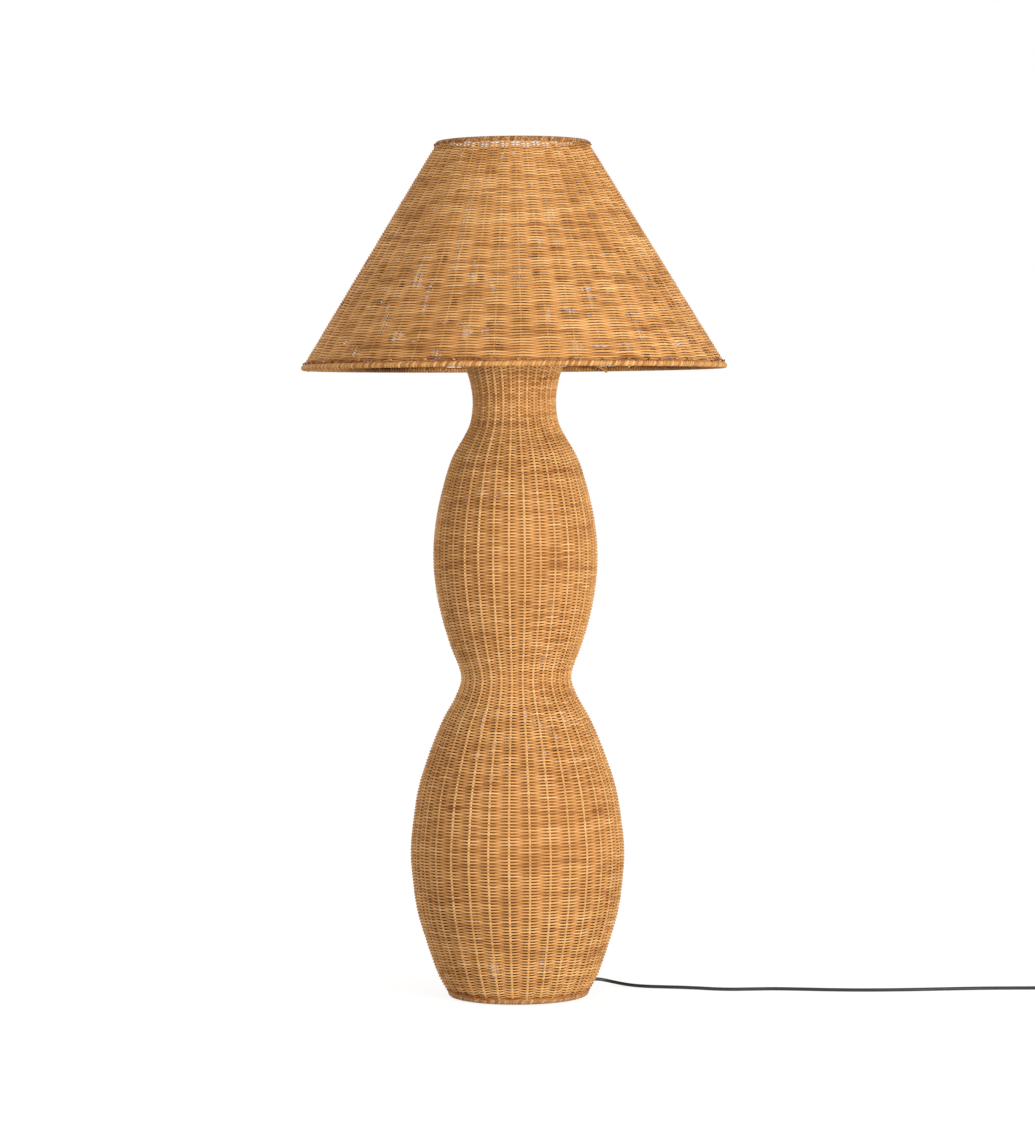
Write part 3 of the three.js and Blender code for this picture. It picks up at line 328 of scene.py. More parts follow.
def scene_object(name: str, data: bpy.types.ID) -> bpy.types.Object:
    """Puts a mesh, a curve, a lamp or a camera into the scene as an object of its own.

    Args:
        name: The object's name.
        data: The mesh, curve, lamp or camera.

    Returns:
        The object.
    """
    made = bpy.data.objects.new(name, data)
    bpy.context.scene.collection.objects.link(made)
    return made


def settle(piece: bpy.types.Object, body: str, slot: str, *nodes: str) -> None:
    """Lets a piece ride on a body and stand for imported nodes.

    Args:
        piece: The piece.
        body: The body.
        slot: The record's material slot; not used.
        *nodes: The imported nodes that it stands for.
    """
    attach(piece, body)
    if nodes:
        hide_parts(*nodes)
    faces = len(piece.data.polygons) if piece.type == "MESH" else len(piece.data.splines)
    LOG.info("%s: %d faces or splines, on %s", piece.name, faces, body)


def section(node: str, azimuth: float) -> np.ndarray:
    """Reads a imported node's corners at one azimuth.

    Args:
        node: The node.
        azimuth: The azimuth, in degrees from +X.

    Returns:
        Radius and height of each corner there.
    """
    slack = MM / 50
    corners = np.array([v.co for v in frame["nodes"][node].data.vertices])
    across = np.array([math.cos(math.radians(azimuth)), math.sin(math.radians(azimuth))])
    along, aside = corners[:, :2] @ across, corners[:, 0] * across[1] - corners[:, 1] * across[0]
    there = (along > 0) & (np.abs(aside) < slack)
    return np.unique(np.round(np.stack([along[there], corners[there, 2]], 1), 6), axis=0)


def line_mesh(points: Sequence[Point]) -> bpy.types.Mesh:
    """Makes a mesh that is only a line.

    Args:
        points: The line's points.

    Returns:
        The mesh.
    """
    mesh = bpy.data.meshes.new("line")
    mesh.from_pydata([tuple(p) for p in points], [(i, i + 1) for i in range(len(points) - 1)], [])
    return mesh


def grown(
    name: str, points: Sequence[Point], part: PartTree, sizes: dict[str, float | int],
) -> bpy.types.Object:
    """Grows a piece from a line with a tree, and keeps the result as a plain mesh.

    Args:
        name: The piece's name.
        points: The line that it grows from.
        part: The tree.
        sizes: A value for each of the tree's named inputs that isn't left at its default.

    Returns:
        The piece.
    """
    piece = scene_object(name, line_mesh(points))
    modifier = piece.modifiers.new("grow", "NODES")
    modifier.node_group = part.tree
    sockets = [item for item in part.tree.interface.items_tree if item.in_out == "INPUT"]
    identifiers = {socket.name: socket.identifier for socket in sockets}
    for size, value in sizes.items():
        modifier[identifiers[size]] = value
    bpy.context.view_layer.update()
    evaluated = piece.evaluated_get(bpy.context.evaluated_depsgraph_get())
    mesh = bpy.data.meshes.new_from_object(evaluated)
    piece.modifiers.remove(modifier)
    piece.data = mesh
    mesh.name = name
    return piece


def turned(
    name: str, outline: Sequence[Sequence[float]], facets: int, flute: float = 0.0, flutes: int = 1,
) -> bpy.types.Object:
    """Turns a closed outline about +Z.

    Args:
        name: The piece's name.
        outline: Radius and height of each corner, anticlockwise. A corner on the axis becomes a pole.
        facets: How many steps a full turn has.
        flute: Depth of the grooves down the piece.
        flutes: How many of them there are.

    Returns:
        The piece, with smooth faces.
    """
    widest = max(radius for radius, _ in outline)
    angles = np.arange(facets) * TURN / facets
    vertices: list[Point] = []
    rings: list[list[int]] = []
    for radius, height in outline:
        first = len(vertices)
        if radius < ON_AXIS:
            vertices.append((0.0, 0.0, height))
            rings.append([first] * facets)
            continue
        groove = flute * (1 - np.cos(flutes * angles)) / 2 if radius > widest - flute else 0 * angles
        reach = radius - groove
        vertices += [(r * math.cos(a), r * math.sin(a), height) for r, a in zip(reach, angles, strict=True)]
        rings.append(list(range(first, first + facets)))
    faces = []
    for low, high in zip(rings, rings[1:] + rings[:1], strict=True):
        for k in range(facets):
            after = (k + 1) % facets
            corners = dict.fromkeys((low[k], low[after], high[after], high[k]))
            if len(corners) > 2:
                faces.append(tuple(corners))
    mesh = bpy.data.meshes.new(name)
    mesh.from_pydata(vertices, [], faces)
    mesh.shade_smooth()
    return scene_object(name, mesh)


def rounded(outline: Sequence[Sequence[float]], cut: float, steps: int = 3) -> list[tuple[float, float]]:
    """Rounds the corners of a closed outline.

    Args:
        outline: The corners.
        cut: Length that is cut off each side of a corner, if its sides are long enough.
        steps: How many steps each round has.

    Returns:
        The rounded outline. A corner on the axis stays as it is.
    """
    most_of_side = 0.45
    corners = [np.array(c, float) for c in outline]
    befores, afters = corners[-1:] + corners[:-1], corners[1:] + corners[:1]
    made: list[tuple[float, float]] = []
    for before, corner, after in zip(befores, corners, afters, strict=True):
        if corner[0] < ON_AXIS:
            made.append((0.0, float(corner[1])))
            continue
        sides = [before - corner, after - corner]
        lengths = [float(np.linalg.norm(side)) for side in sides]
        taken = [min(cut, length * most_of_side) for length in lengths]
        ends = [corner + s / n * away for s, n, away in zip(sides, lengths, taken, strict=True)]
        for t in np.linspace(0, 1, steps + 1):
            x, z = (1 - t) ** 2 * ends[0] + 2 * t * (1 - t) * corner + t * t * ends[1]
            made.append((float(x), float(z)))
    return made


def wire(name: str, lines: Sequence[np.ndarray], radius: float, finish: "Finish") -> bpy.types.Object:
    """Makes round wires along lines, as one curve.

    Args:
        name: The piece's name.
        lines: The points of each wire's middle.
        radius: The wire's radius.
        finish: Its finish.

    Returns:
        The piece.
    """
    data = bpy.data.curves.new(name, "CURVE")
    data.dimensions = "3D"
    data.bevel_depth = radius
    data.bevel_resolution = 3
    data.use_fill_caps = True
    for points in lines:
        spline = data.splines.new("POLY")
        spline.points.add(len(points) - 1)
        spline.points.foreach_set("co", np.hstack([points, np.ones((len(points), 1))]).ravel())
        spline.use_smooth = True
    return dressed(scene_object(name, data), finish)


def lofted(name: str, loops: Sequence[np.ndarray], cyclic: bool = False) -> bpy.types.Object:
    """Joins loops of corners into one closed skin.

    Args:
        name: The piece's name.
        loops: The loops, each with the same number of corners.
        cyclic: Whether the last loop joins the first, in place of a flat end at both.

    Returns:
        The piece, with smooth faces.
    """
    size, count = len(loops[0]), len(loops)
    faces = []
    for i in range(count if cyclic else count - 1):
        low, high = i * size, (i + 1) % count * size
        faces += [(low + k, low + (k + 1) % size, high + (k + 1) % size, high + k) for k in range(size)]
    if not cyclic:
        faces += [tuple(range(size))[::-1], tuple(range((count - 1) * size, count * size))]
    mesh = bpy.data.meshes.new(name)
    mesh.from_pydata(np.vstack(loops).tolist(), [], faces)
    mesh.shade_smooth()
    return scene_object(name, mesh)


def rounded_loop(length: float, width: float, radius: float, steps: int = 8) -> np.ndarray:
    """Draws a rectangle with round corners.

    Args:
        length: Along X.
        width: Along Y.
        radius: Of the corners.
        steps: How many steps each corner has.

    Returns:
        Its corners, anticlockwise, as X and Y.
    """
    radius = min(radius, length / 2, width / 2)
    corners = []
    for k, (x, y) in enumerate(((1, 1), (-1, 1), (-1, -1), (1, -1))):
        angles = np.linspace(0, TURN / 4, steps + 1) + k * TURN / 4
        centre = np.array([x * (length / 2 - radius), y * (width / 2 - radius)])
        corners.append(centre + radius * np.stack([np.cos(angles), np.sin(angles)], 1))
    return np.vstack(corners)


def level(loop: np.ndarray, z: float) -> np.ndarray:
    """Lays a flat loop at a height."""
    return np.hstack([loop, np.full((len(loop), 1), z)])


def dressed(piece: bpy.types.Object, finish: "Finish") -> bpy.types.Object:
    """Gives a piece its finish."""
    piece.data.materials.append(finish.material())
    return piece


def laid(piece: bpy.types.Object, place: Sequence[float], along: Sequence[float]) -> bpy.types.Object:
    """Moves a piece's corners so that its +Z lies along a direction.

    Args:
        piece: The piece.
        place: Where its origin goes.
        along: The direction.

    Returns:
        The piece.
    """
    turn = Vector(along).to_track_quat("Z", "Y").to_matrix().to_4x4()
    piece.data.transform(Matrix.Translation(Vector(place)) @ turn)
    return piece


def at_azimuth(points: Sequence[Sequence[float]], azimuth: float) -> np.ndarray:
    """Stands radius-and-height points up at an azimuth in degrees."""
    angle = math.radians(azimuth)
    return np.array([(r * math.cos(angle), r * math.sin(angle), z) for r, z in points])


def smooth_line(points: Sequence[Sequence[float]], step: float) -> np.ndarray:
    """Draws a centripetal Catmull-Rom curve through points.

    Args:
        points: The points.
        step: About how far apart the curve's own points lie.

    Returns:
        The curve's points, one row each.
    """
    given = np.array(points, float)
    ends = [2 * given[0] - given[1], *given, 2 * given[-1] - given[-2]]
    drawn = [given[0]]
    for p0, p1, p2, p3 in zip(ends, ends[1:], ends[2:], ends[3:], strict=False):
        t1 = math.sqrt(np.linalg.norm(p1 - p0))
        t2 = t1 + math.sqrt(np.linalg.norm(p2 - p1))
        t3 = t2 + math.sqrt(np.linalg.norm(p3 - p2))
        count = max(1, math.ceil(np.linalg.norm(p2 - p1) / step))
        for t in np.linspace(t1, t2, count + 1)[1:]:
            a1 = ((t1 - t) * p0 + t * p1) / t1
            a2 = ((t2 - t) * p1 + (t - t1) * p2) / (t2 - t1)
            a3 = ((t3 - t) * p2 + (t - t2) * p3) / (t3 - t2)
            b1 = ((t2 - t) * a1 + t * a2) / t2
            b2 = ((t3 - t) * a2 + (t - t1) * a3) / (t3 - t1)
            drawn.append(((t2 - t) * b1 + (t - t1) * b2) / (t2 - t1))
    return np.array(drawn)


# Finishes


class Look(Enum):
    """The sorts of surface on the lamp."""

    RATTAN = "rattan"
    COATED = "coated"
    PLATED = "plated"
    MOULDED = "moulded"
    GLAZED = "glazed"
    FROSTED = "frosted"
    SHEATH = "sheath"


# The shader's inputs that each sort of surface sets for itself.
LOOK_INPUTS: dict[Look, dict[str, float | Point]] = {
    Look.RATTAN: {"Specular IOR Level": 0.15},
    Look.COATED: {"Metallic": 0.3},
    Look.PLATED: {"Metallic": 1.0},
    Look.GLAZED: {"Coat Weight": 0.5},
    Look.FROSTED: {"Subsurface Weight": 0.6, "Subsurface Radius": (4 * MM, 4 * MM, 4 * MM)},
}


@dataclass(frozen=True)
class Finish:
    """A surface finish, made into a material once.

    Attributes:
        name: The material's name.
        look: The sort of surface.
        dark: The colour of dark grain, and on rattan also of the shade painted into the hollows.
        plain: The colour of most of the surface.
        light: The colour of the lightest grain.
        roughness: How rough the surface is.
        grain: Size of the surface's grain.
        bump: Height of the grain.
        ramp_ends: Where the dark and the light colour lie on the ramp from 0 to 1.
        roughness_spread: Share by which the roughness varies.
        cloud_grains: Size of the broad clouds of colour, in grains.
        brush_grains: Length of a stroke on plated metal, in grains.
        fibre_grains: Length of a fibre of rattan, in grains.
        fibre_strength: How much lighter and darker the fibres are.
        painted_hollow_top: How far out of the hollows the full colour starts, from 0 to 1; below it shade is
            painted in.
        painted_hollow_light: Share of the colour that the painted shade keeps at the bottom of the hollows.
    """

    name: str
    look: Look
    dark: Rgb
    plain: Rgb
    light: Rgb
    roughness: float
    grain: float
    bump: float
    ramp_ends: Span = (0.1, 0.9)
    roughness_spread: float = 0.15
    cloud_grains: float = 40.0
    brush_grains: float = 20.0
    fibre_grains: float = 4.0
    fibre_strength: float = 0.35
    painted_hollow_top: float = 0.75
    painted_hollow_light: float = 0.26

    @cache
    def material(self) -> bpy.types.Material:
        """Makes the finish's material the first time.

        Returns:
            The material, the same one each time.
        """
        made = bpy.data.materials.new(self.name)
        made.diffuse_color = (*self.plain, 1.0)
        graph = emptied(made)
        shader = graph.add("ShaderNodeBsdfPrincipled")
        graph.add("ShaderNodeOutputMaterial", {"Surface": shader.outputs[0]})
        self.draw(graph, shader)
        return made

    def draw(self, graph: NodeGraph, shader: bpy.types.Node) -> None:
        """Feeds the shader its colour, roughness and bump.

        Args:
            graph: The material's nodes.
            shader: The shader.
        """
        place = graph.add("ShaderNodeTexCoord").outputs["Object"]
        scale = 1 / self.grain
        if self.look is Look.RATTAN:
            shade = self.rattan_shade(graph, place)
        elif self.look is Look.PLATED:
            brushed = graph.stretched(place, scale, scale, scale / self.brush_grains)
            shade = graph.noise(brushed, seed=2.0, detail=3.0)
        else:
            shade = graph.noise(graph.scaled(place, scale / self.cloud_grains), seed=1.0, detail=4.0)
        ramp = graph.add("ShaderNodeValToRGB", {0: shade})
        stops = ramp.color_ramp.elements
        stops[0].position, stops[0].color = self.ramp_ends[0], (*self.dark, 1.0)
        stops[1].position, stops[1].color = self.ramp_ends[1], (*self.light, 1.0)
        stops.new(sum(self.ramp_ends) / 2).color = (*self.plain, 1.0)
        graph.tree.links.new(ramp.outputs[0], shader.inputs["Base Color"])
        fine = graph.noise(graph.scaled(place, scale), seed=5.0, detail=3.0)
        smoothest = self.roughness * (1 - self.roughness_spread)
        roughest = min(1.0, self.roughness * (1 + self.roughness_spread))
        rough = graph.mapped(fine, NOISE_NARROW, (smoothest, roughest))
        graph.tree.links.new(rough, shader.inputs["Roughness"])
        bumped = graph.add("ShaderNodeBump", {"Distance": self.bump, "Height": fine, "Strength": 1.0})
        graph.tree.links.new(bumped.outputs[0], shader.inputs["Normal"])
        for name, value in LOOK_INPUTS.get(self.look, {}).items():
            shader.inputs[name].default_value = value

    def rattan_shade(self, graph: NodeGraph, place: Socket) -> Socket:
        """Mixes the strand's own tone with its fibres, and paints shade into its hollows.

        Args:
            graph: The material's nodes.
            place: The point on the surface.

        Returns:
            The shade, from 0, dark, to 1, light.
        """
        tone = graph.add("ShaderNodeAttribute", attribute_name="tone").outputs["Fac"]
        raised = graph.add("ShaderNodeAttribute", attribute_name="raised").outputs["Fac"]
        scale = 1 / self.grain
        along = scale / self.fibre_grains
        fibre = graph.noise(graph.stretched(place, along, along, scale), seed=3.0, detail=2.0)
        grained = graph.plus(tone, graph.times(graph.plus(fibre, -0.5), self.fibre_strength))
        # Painted shade: the deeper a point lies in the weave's hollows, the darker its colour.
        return graph.times(grained, graph.mapped(raised, (0.0, self.painted_hollow_top), (self.painted_hollow_light, 1.0)))


RATTAN = Finish(
    "woven_rattan", Look.RATTAN,
    dark=linear(146, 88, 42), plain=linear(216, 160, 96), light=linear(248, 206, 146),
    roughness=0.6, grain=0.5 * MM, bump=0.06 * MM,
)
RATTAN_DARK = Finish(
    "wound_rattan", Look.RATTAN,
    dark=linear(92, 56, 32), plain=linear(168, 118, 74), light=linear(220, 170, 118),
    roughness=0.6, grain=0.5 * MM, bump=0.06 * MM,
)
STEEL = Finish(
    "coated_steel", Look.COATED,
    dark=linear(40, 38, 36), plain=linear(52, 50, 48), light=linear(66, 64, 61),
    roughness=0.5, grain=0.6 * MM, bump=0.03 * MM,
)
SHADE_WIRE = Finish(
    "shade_wire", Look.MOULDED,
    dark=linear(176, 124, 70), plain=linear(190, 136, 80), light=linear(204, 150, 92),
    roughness=0.6, grain=0.6 * MM, bump=0.03 * MM,
)
ZINC = Finish(
    "zinc_plate", Look.PLATED,
    dark=linear(168, 170, 174), plain=linear(186, 188, 192), light=linear(204, 206, 208),
    roughness=0.3, grain=0.4 * MM, bump=0.01 * MM,
)
BRASS = Finish(
    "brass_plate", Look.PLATED,
    dark=linear(176, 142, 74), plain=linear(201, 168, 96), light=linear(218, 190, 124),
    roughness=0.28, grain=0.4 * MM, bump=0.01 * MM,
)
BLACK_PLASTIC = Finish(
    "moulded_black", Look.MOULDED,
    dark=linear(18, 18, 19), plain=linear(26, 26, 28), light=linear(34, 34, 36),
    roughness=0.42, grain=0.5 * MM, bump=0.015 * MM,
)
CERAMIC = Finish(
    "white_glaze", Look.GLAZED,
    dark=linear(222, 216, 204), plain=linear(236, 231, 220), light=linear(246, 243, 236),
    roughness=0.22, grain=1.5 * MM, bump=0.01 * MM,
)
BULB_GLASS = Finish(
    "frosted_glass", Look.FROSTED,
    dark=linear(240, 238, 232), plain=linear(247, 245, 240), light=linear(252, 251, 248),
    roughness=0.35, grain=1.0 * MM, bump=0.005 * MM,
)
RUBBER = Finish(
    "foot_rubber", Look.MOULDED,
    dark=linear(20, 20, 20), plain=linear(28, 28, 28), light=linear(38, 38, 38),
    roughness=0.8, grain=0.4 * MM, bump=0.02 * MM,
)
SHEATH = Finish(
    "black_sheath", Look.SHEATH,
    dark=linear(17, 17, 19), plain=linear(25, 26, 28), light=linear(35, 36, 38),
    roughness=0.48, grain=0.4 * MM, bump=0.01 * MM,
)


# Camera, lamps and floor


@dataclass(frozen=True)
class SoftLamp:
    """A soft square lamp of the studio.

    Attributes:
        name: Its name.
        place: Where it hangs.
        size: Length of its sides.
        power: Its power, in watts.
        colour: Its colour.
    """

    name: str
    place: Point
    size: float
    power: float
    colour: Rgb


@dataclass
class Studio:
    """The camera at the photograph's place, soft lamps and a pale floor.

    Attributes:
        distance: From the camera to the lamp's axis.
        eye: Height of the camera.
        side: How far right of the axis the camera stands.
        pitch: How far the camera looks down, in degrees.
        roll: How far the camera is turned about its view, in degrees.
        lens: Focal length, in millimetres, for the sensor's long side.
        sensor: Long side of the sensor, in millimetres.
        daylight: Strength of the light from all round.
        lamps: The soft lamps.
        aim: Height of the place that the lamps face.
        floor_reach: From the floor's middle to its edges.
        floor_grey: How light the floor's own colour is, from 0 to 1.
        floor_glow: Light that is added to the floor where it is seen.
    """

    distance: float = 5.186
    eye: float = 0.805
    side: float = 0.0028
    pitch: float = 2.272
    roll: float = -0.4
    lens: float = 116.9
    sensor: float = 36.0
    daylight: float = 0.52
    lamps: tuple[SoftLamp, ...] = (
        SoftLamp("key", place=(2.6, -3.0, 0.6), size=1.2, power=150.0, colour=(1.0, 0.97, 0.92)),
        SoftLamp("fill", place=(-3.0, -2.4, 0.75), size=1.4, power=46.0, colour=(1.0, 0.98, 0.97)),
    )
    aim: float = 0.65
    floor_reach: float = 60.0
    floor_grey: float = 0.36
    floor_glow: float = 0.83

    def set_camera(self) -> None:
        """Makes the camera."""
        data = bpy.data.cameras.new("camera")
        data.lens = self.lens
        data.sensor_width = self.sensor
        data.sensor_fit = "AUTO"
        data.clip_end = 4 * self.floor_reach
        camera = scene_object("camera", data)
        look = Matrix.Rotation(math.radians(90 - self.pitch), 4, "X")
        turn = Matrix.Rotation(math.radians(self.roll), 4, "Z")
        place = Matrix.Translation((self.side, -self.distance, self.eye))
        camera.matrix_world = place @ look @ turn
        bpy.context.scene.camera = camera

    def hang(self, lamp: SoftLamp) -> None:
        """Hangs a lamp so that it faces the middle of the object.

        Args:
            lamp: The lamp.
        """
        data = bpy.data.lights.new(lamp.name, "AREA")
        data.size = lamp.size
        data.energy = lamp.power
        data.color = lamp.colour
        hung = scene_object(lamp.name, data)
        hung.location = lamp.place
        towards = Vector((0, 0, self.aim)) - Vector(lamp.place)
        hung.rotation_euler = towards.to_track_quat("-Z", "Y").to_euler()

    def seen(self, graph: NodeGraph) -> Socket:
        """Tells a ray by which the camera sees something from a ray that lights the object.

        Args:
            graph: The nodes that ask.

        Returns:
            1 for a ray from the camera, from a gloss or through a glass, and else 0.
        """
        path = graph.add("ShaderNodeLightPath").outputs
        seen = graph.maths("MAXIMUM", path["Is Camera Ray"], path["Is Glossy Ray"])
        return graph.maths("MAXIMUM", seen, path["Is Transmission Ray"])

    def set_daylight(self) -> None:
        """Makes the world white where it is seen, and an even grey light elsewhere."""
        world = bpy.data.worlds.new("daylight")
        bpy.context.scene.world = world
        graph = emptied(world)
        strength = graph.plus(self.daylight, graph.times(self.seen(graph), 1.0 - self.daylight))
        white = graph.add("ShaderNodeBackground", {"Color": (1, 1, 1, 1), "Strength": strength})
        graph.add("ShaderNodeOutputWorld", {"Surface": white.outputs[0]})

    def lay_floor(self) -> None:
        """Lays a pale floor that the camera sees as near white, with the object's shadow."""
        reach = self.floor_reach
        corners = [(-reach, -reach, 0), (reach, -reach, 0), (reach, reach, 0), (-reach, reach, 0)]
        mesh = bpy.data.meshes.new("floor")
        mesh.from_pydata(corners, [], [(0, 1, 2, 3)])
        floor = scene_object("floor", mesh)
        material = bpy.data.materials.new("pale_floor")
        graph = emptied(material)
        lit = graph.add("ShaderNodeBsdfDiffuse", {"Color": (*3 * (self.floor_grey,), 1)})
        strength = graph.times(self.seen(graph), self.floor_glow)
        glow = graph.add("ShaderNodeEmission", {"Color": (1, 1, 1, 1), "Strength": strength})
        both = graph.add("ShaderNodeAddShader", {0: lit.outputs[0], 1: glow.outputs[0]})
        graph.add("ShaderNodeOutputMaterial", {"Surface": both.outputs[0]})
        mesh.materials.append(material)

    def build(self) -> None:
        """Makes the camera, the lamps, the daylight and the floor."""
        self.set_camera()
        for lamp in self.lamps:
            self.hang(lamp)
        self.set_daylight()
        self.lay_floor()
        bpy.context.scene.view_settings.view_transform = "Standard"
        LOG.info("camera %.3f m from the lamp's axis", self.distance)


# Mains lead


@dataclass
class Gland:
    """The tapered gland with its ribs, round the lead where it leaves the body.

    Attributes:
        tip: Its mouth, where the lead leaves.
        out: Its direction.
        bore: Radius of the hole that the lead runs through.
        reach: From the body's wall to the mouth.
        head: Radius and place along the gland of the thick end's corners.
        mouth: Radius at the mouth.
        ribs: How many ribs it has.
        rib_start: Where along the gland the first rib starts.
        rib_pitch: From rib to rib.
        rib_radius: Of the first rib.
        rib_taper: How much smaller each rib is than the one before it.
        rib: What is added to the radius and the place at each corner of a rib.
    """

    tip: Point
    out: Point
    bore: float
    reach: float = 24 * MM
    head: Corners = ((6.6 * MM, -4 * MM), (7 * MM, 5.4 * MM), (6.5 * MM, 6.6 * MM))
    mouth: float = 3.6 * MM
    ribs: int = 5
    rib_start: float = 7.4 * MM
    rib_pitch: float = 3.2 * MM
    rib_radius: float = 6.1 * MM
    rib_taper: float = 0.5 * MM
    rib: Corners = ((-1.1 * MM, 0), (0, 0.5 * MM), (-0.25 * MM, 1.9 * MM), (-1.1 * MM, 2.4 * MM))

    def build(self) -> None:
        """Makes the gland."""
        outline = [(self.bore, self.head[0][1]), *self.head]
        for k in range(self.ribs):
            low = self.rib_start + k * self.rib_pitch
            radius = self.rib_radius - k * self.rib_taper
            outline += [(radius + wider, low + along) for wider, along in self.rib]
        outline += [(self.mouth, self.reach), (self.bore, self.reach)]
        seat = np.array(self.tip) - np.array(self.out) * self.reach
        boot = turned("lead_gland_boot", rounded(outline, cut=0.5 * MM, steps=2), facets=40)
        settle(dressed(laid(boot, seat, self.out), BLACK_PLASTIC), "lamp", "black_plastic", "lead_gland")


@dataclass
class MainsLead:
    """The lead from the gland to the plug, and what is on it.

    Attributes:
        diameter: Of the sheath.
        tip: The gland's mouth, where the lead leaves.
        out: The gland's direction.
        gland_bore_share: Radius of the gland's hole, as a share of the lead's diameter.
        run: Route over the floor, from the gland to the foot switch.
        switch_ends: Where the lead goes into the foot switch and comes out.
        coil_x: Of the coil's middle.
        coil_turns: How many turns the coil has.
        coil_inner_radius: Of the innermost turn.
        coil_pitch: From turn to turn.
        coil_lift: How far the coil's lower layer stands off the floor.
        climb_turns: How much of a turn the climb to the upper layer takes.
        loop_steps: How many steps a turn has.
        tail: Route from the coil's top layer to the plug.
        plug_end: Where the lead goes into the plug.
        step: About how far apart the points of the route lie.
    """

    diameter: float = 5 * MM
    tip: Point = (0.10281, 0.07199, 0.01201)
    out: Point = (0.80125, 0.56104, -0.20791)
    gland_bore_share: float = 0.52
    run: tuple[Point, ...] = (
        (0.116, 0.0795, 0.0098), (0.126, 0.082, 0.0076), (0.138, 0.079, 0.0054), (0.151, 0.072, 0.0038),
        (0.166, 0.063, 0.003), (0.184, 0.055, 0.0028), (0.205, 0.0495, 0.0028), (0.23, 0.044, 0.0028),
        (0.255, 0.036, 0.0028), (0.278, 0.027, 0.0028), (0.302, 0.0225, 0.0028), (0.33, 0.0235, 0.0028),
        (0.362, 0.0245, 0.0028), (0.395, 0.02, 0.0028), (0.44, 0.012, 0.0028), (0.49, 0.007, 0.0028),
        (0.545, 0.0075, 0.0028), (0.6, 0.012, 0.0028), (0.655, 0.016, 0.0028), (0.7, 0.016, 0.0028),
        (0.735, 0.0146, 0.0032),
    )
    switch_ends: tuple[Point, Point] = ((0.758, 0.014, 0.005), (0.826, 0.014, 0.005))
    coil_x: float = 0.872
    coil_turns: float = 6.5
    coil_inner_radius: float = 0.0205
    coil_pitch: float = 0.0055
    coil_lift: float = 0.0014
    climb_turns: float = 0.5
    loop_steps: int = 48
    tail: tuple[Point, ...] = ((0.855, -0.0612, 0.009), (0.847, -0.0576, 0.0081), (0.8395, -0.0538, 0.0073))
    plug_end: Point = (0.8303, -0.052, 0.007)
    step: float = 4 * MM

    def coil(self) -> np.ndarray:
        """Works out the coil: it winds in on the floor, climbs a layer, and winds out again.

        Returns:
            The coil's points, with a short straight at both ends.
        """
        outer = self.coil_inner_radius + self.coil_pitch * self.coil_turns / 2
        centre_y = self.switch_ends[1][1] - outer
        turn = np.linspace(0, self.coil_turns, round(self.coil_turns * self.loop_steps) + 1)
        past = turn - self.coil_turns / 2
        radius = self.coil_inner_radius + self.coil_pitch * np.abs(past)
        angle = TURN * (1 / 4 - turn)
        share = np.clip(past / self.climb_turns + 0.5, 0, 1)
        climb = share * share * (3 - 2 * share)
        z = self.coil_lift + self.diameter / 2 + self.coil_pitch * climb
        points = np.stack([self.coil_x + radius * np.cos(angle), centre_y + radius * np.sin(angle), z], 1)
        back = np.array([self.diameter, 0, 0])
        return np.vstack([points[0] - back, points, points[-1] - back])

    def centreline(self) -> np.ndarray:
        """Works out the whole lead's centreline.

        Returns:
            Its points, from the gland's mouth to the plug.
        """
        first = np.array(self.tip) + np.array(self.out) * self.diameter
        straight = np.array([2 * self.diameter, 0, 0])
        near, far = (np.array(end) for end in self.switch_ends)
        run = smooth_line([self.tip, first, *self.run, near - straight, near, far], self.step)
        coil = self.coil()
        ahead = np.array([self.diameter, 0, 0])
        link = smooth_line([far, far + ahead, coil[0] - ahead, coil[0]], self.step)
        plug_end = np.array(self.plug_end)
        tail = smooth_line([coil[-1], coil[-1] - ahead, *self.tail, plug_end + ahead, plug_end], self.step)
        return np.vstack([run, link[1:], coil[1:], tail[1:]])

    def build(self) -> None:
        """Makes the lead and what is on it."""
        points = self.centreline()
        lead = wire("mains_lead", [points], self.diameter / 2, SHEATH)
        settle(lead, "lamp", "lead_sheath", "lead_run", "lead_link", "lead_coil", "lead_tail")
        Gland(self.tip, self.out, self.diameter * self.gland_bore_share).build()
        on_lead = [*FootSwitch().build(), *Plug().build(), CoilTie().build()]
        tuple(self.tip)


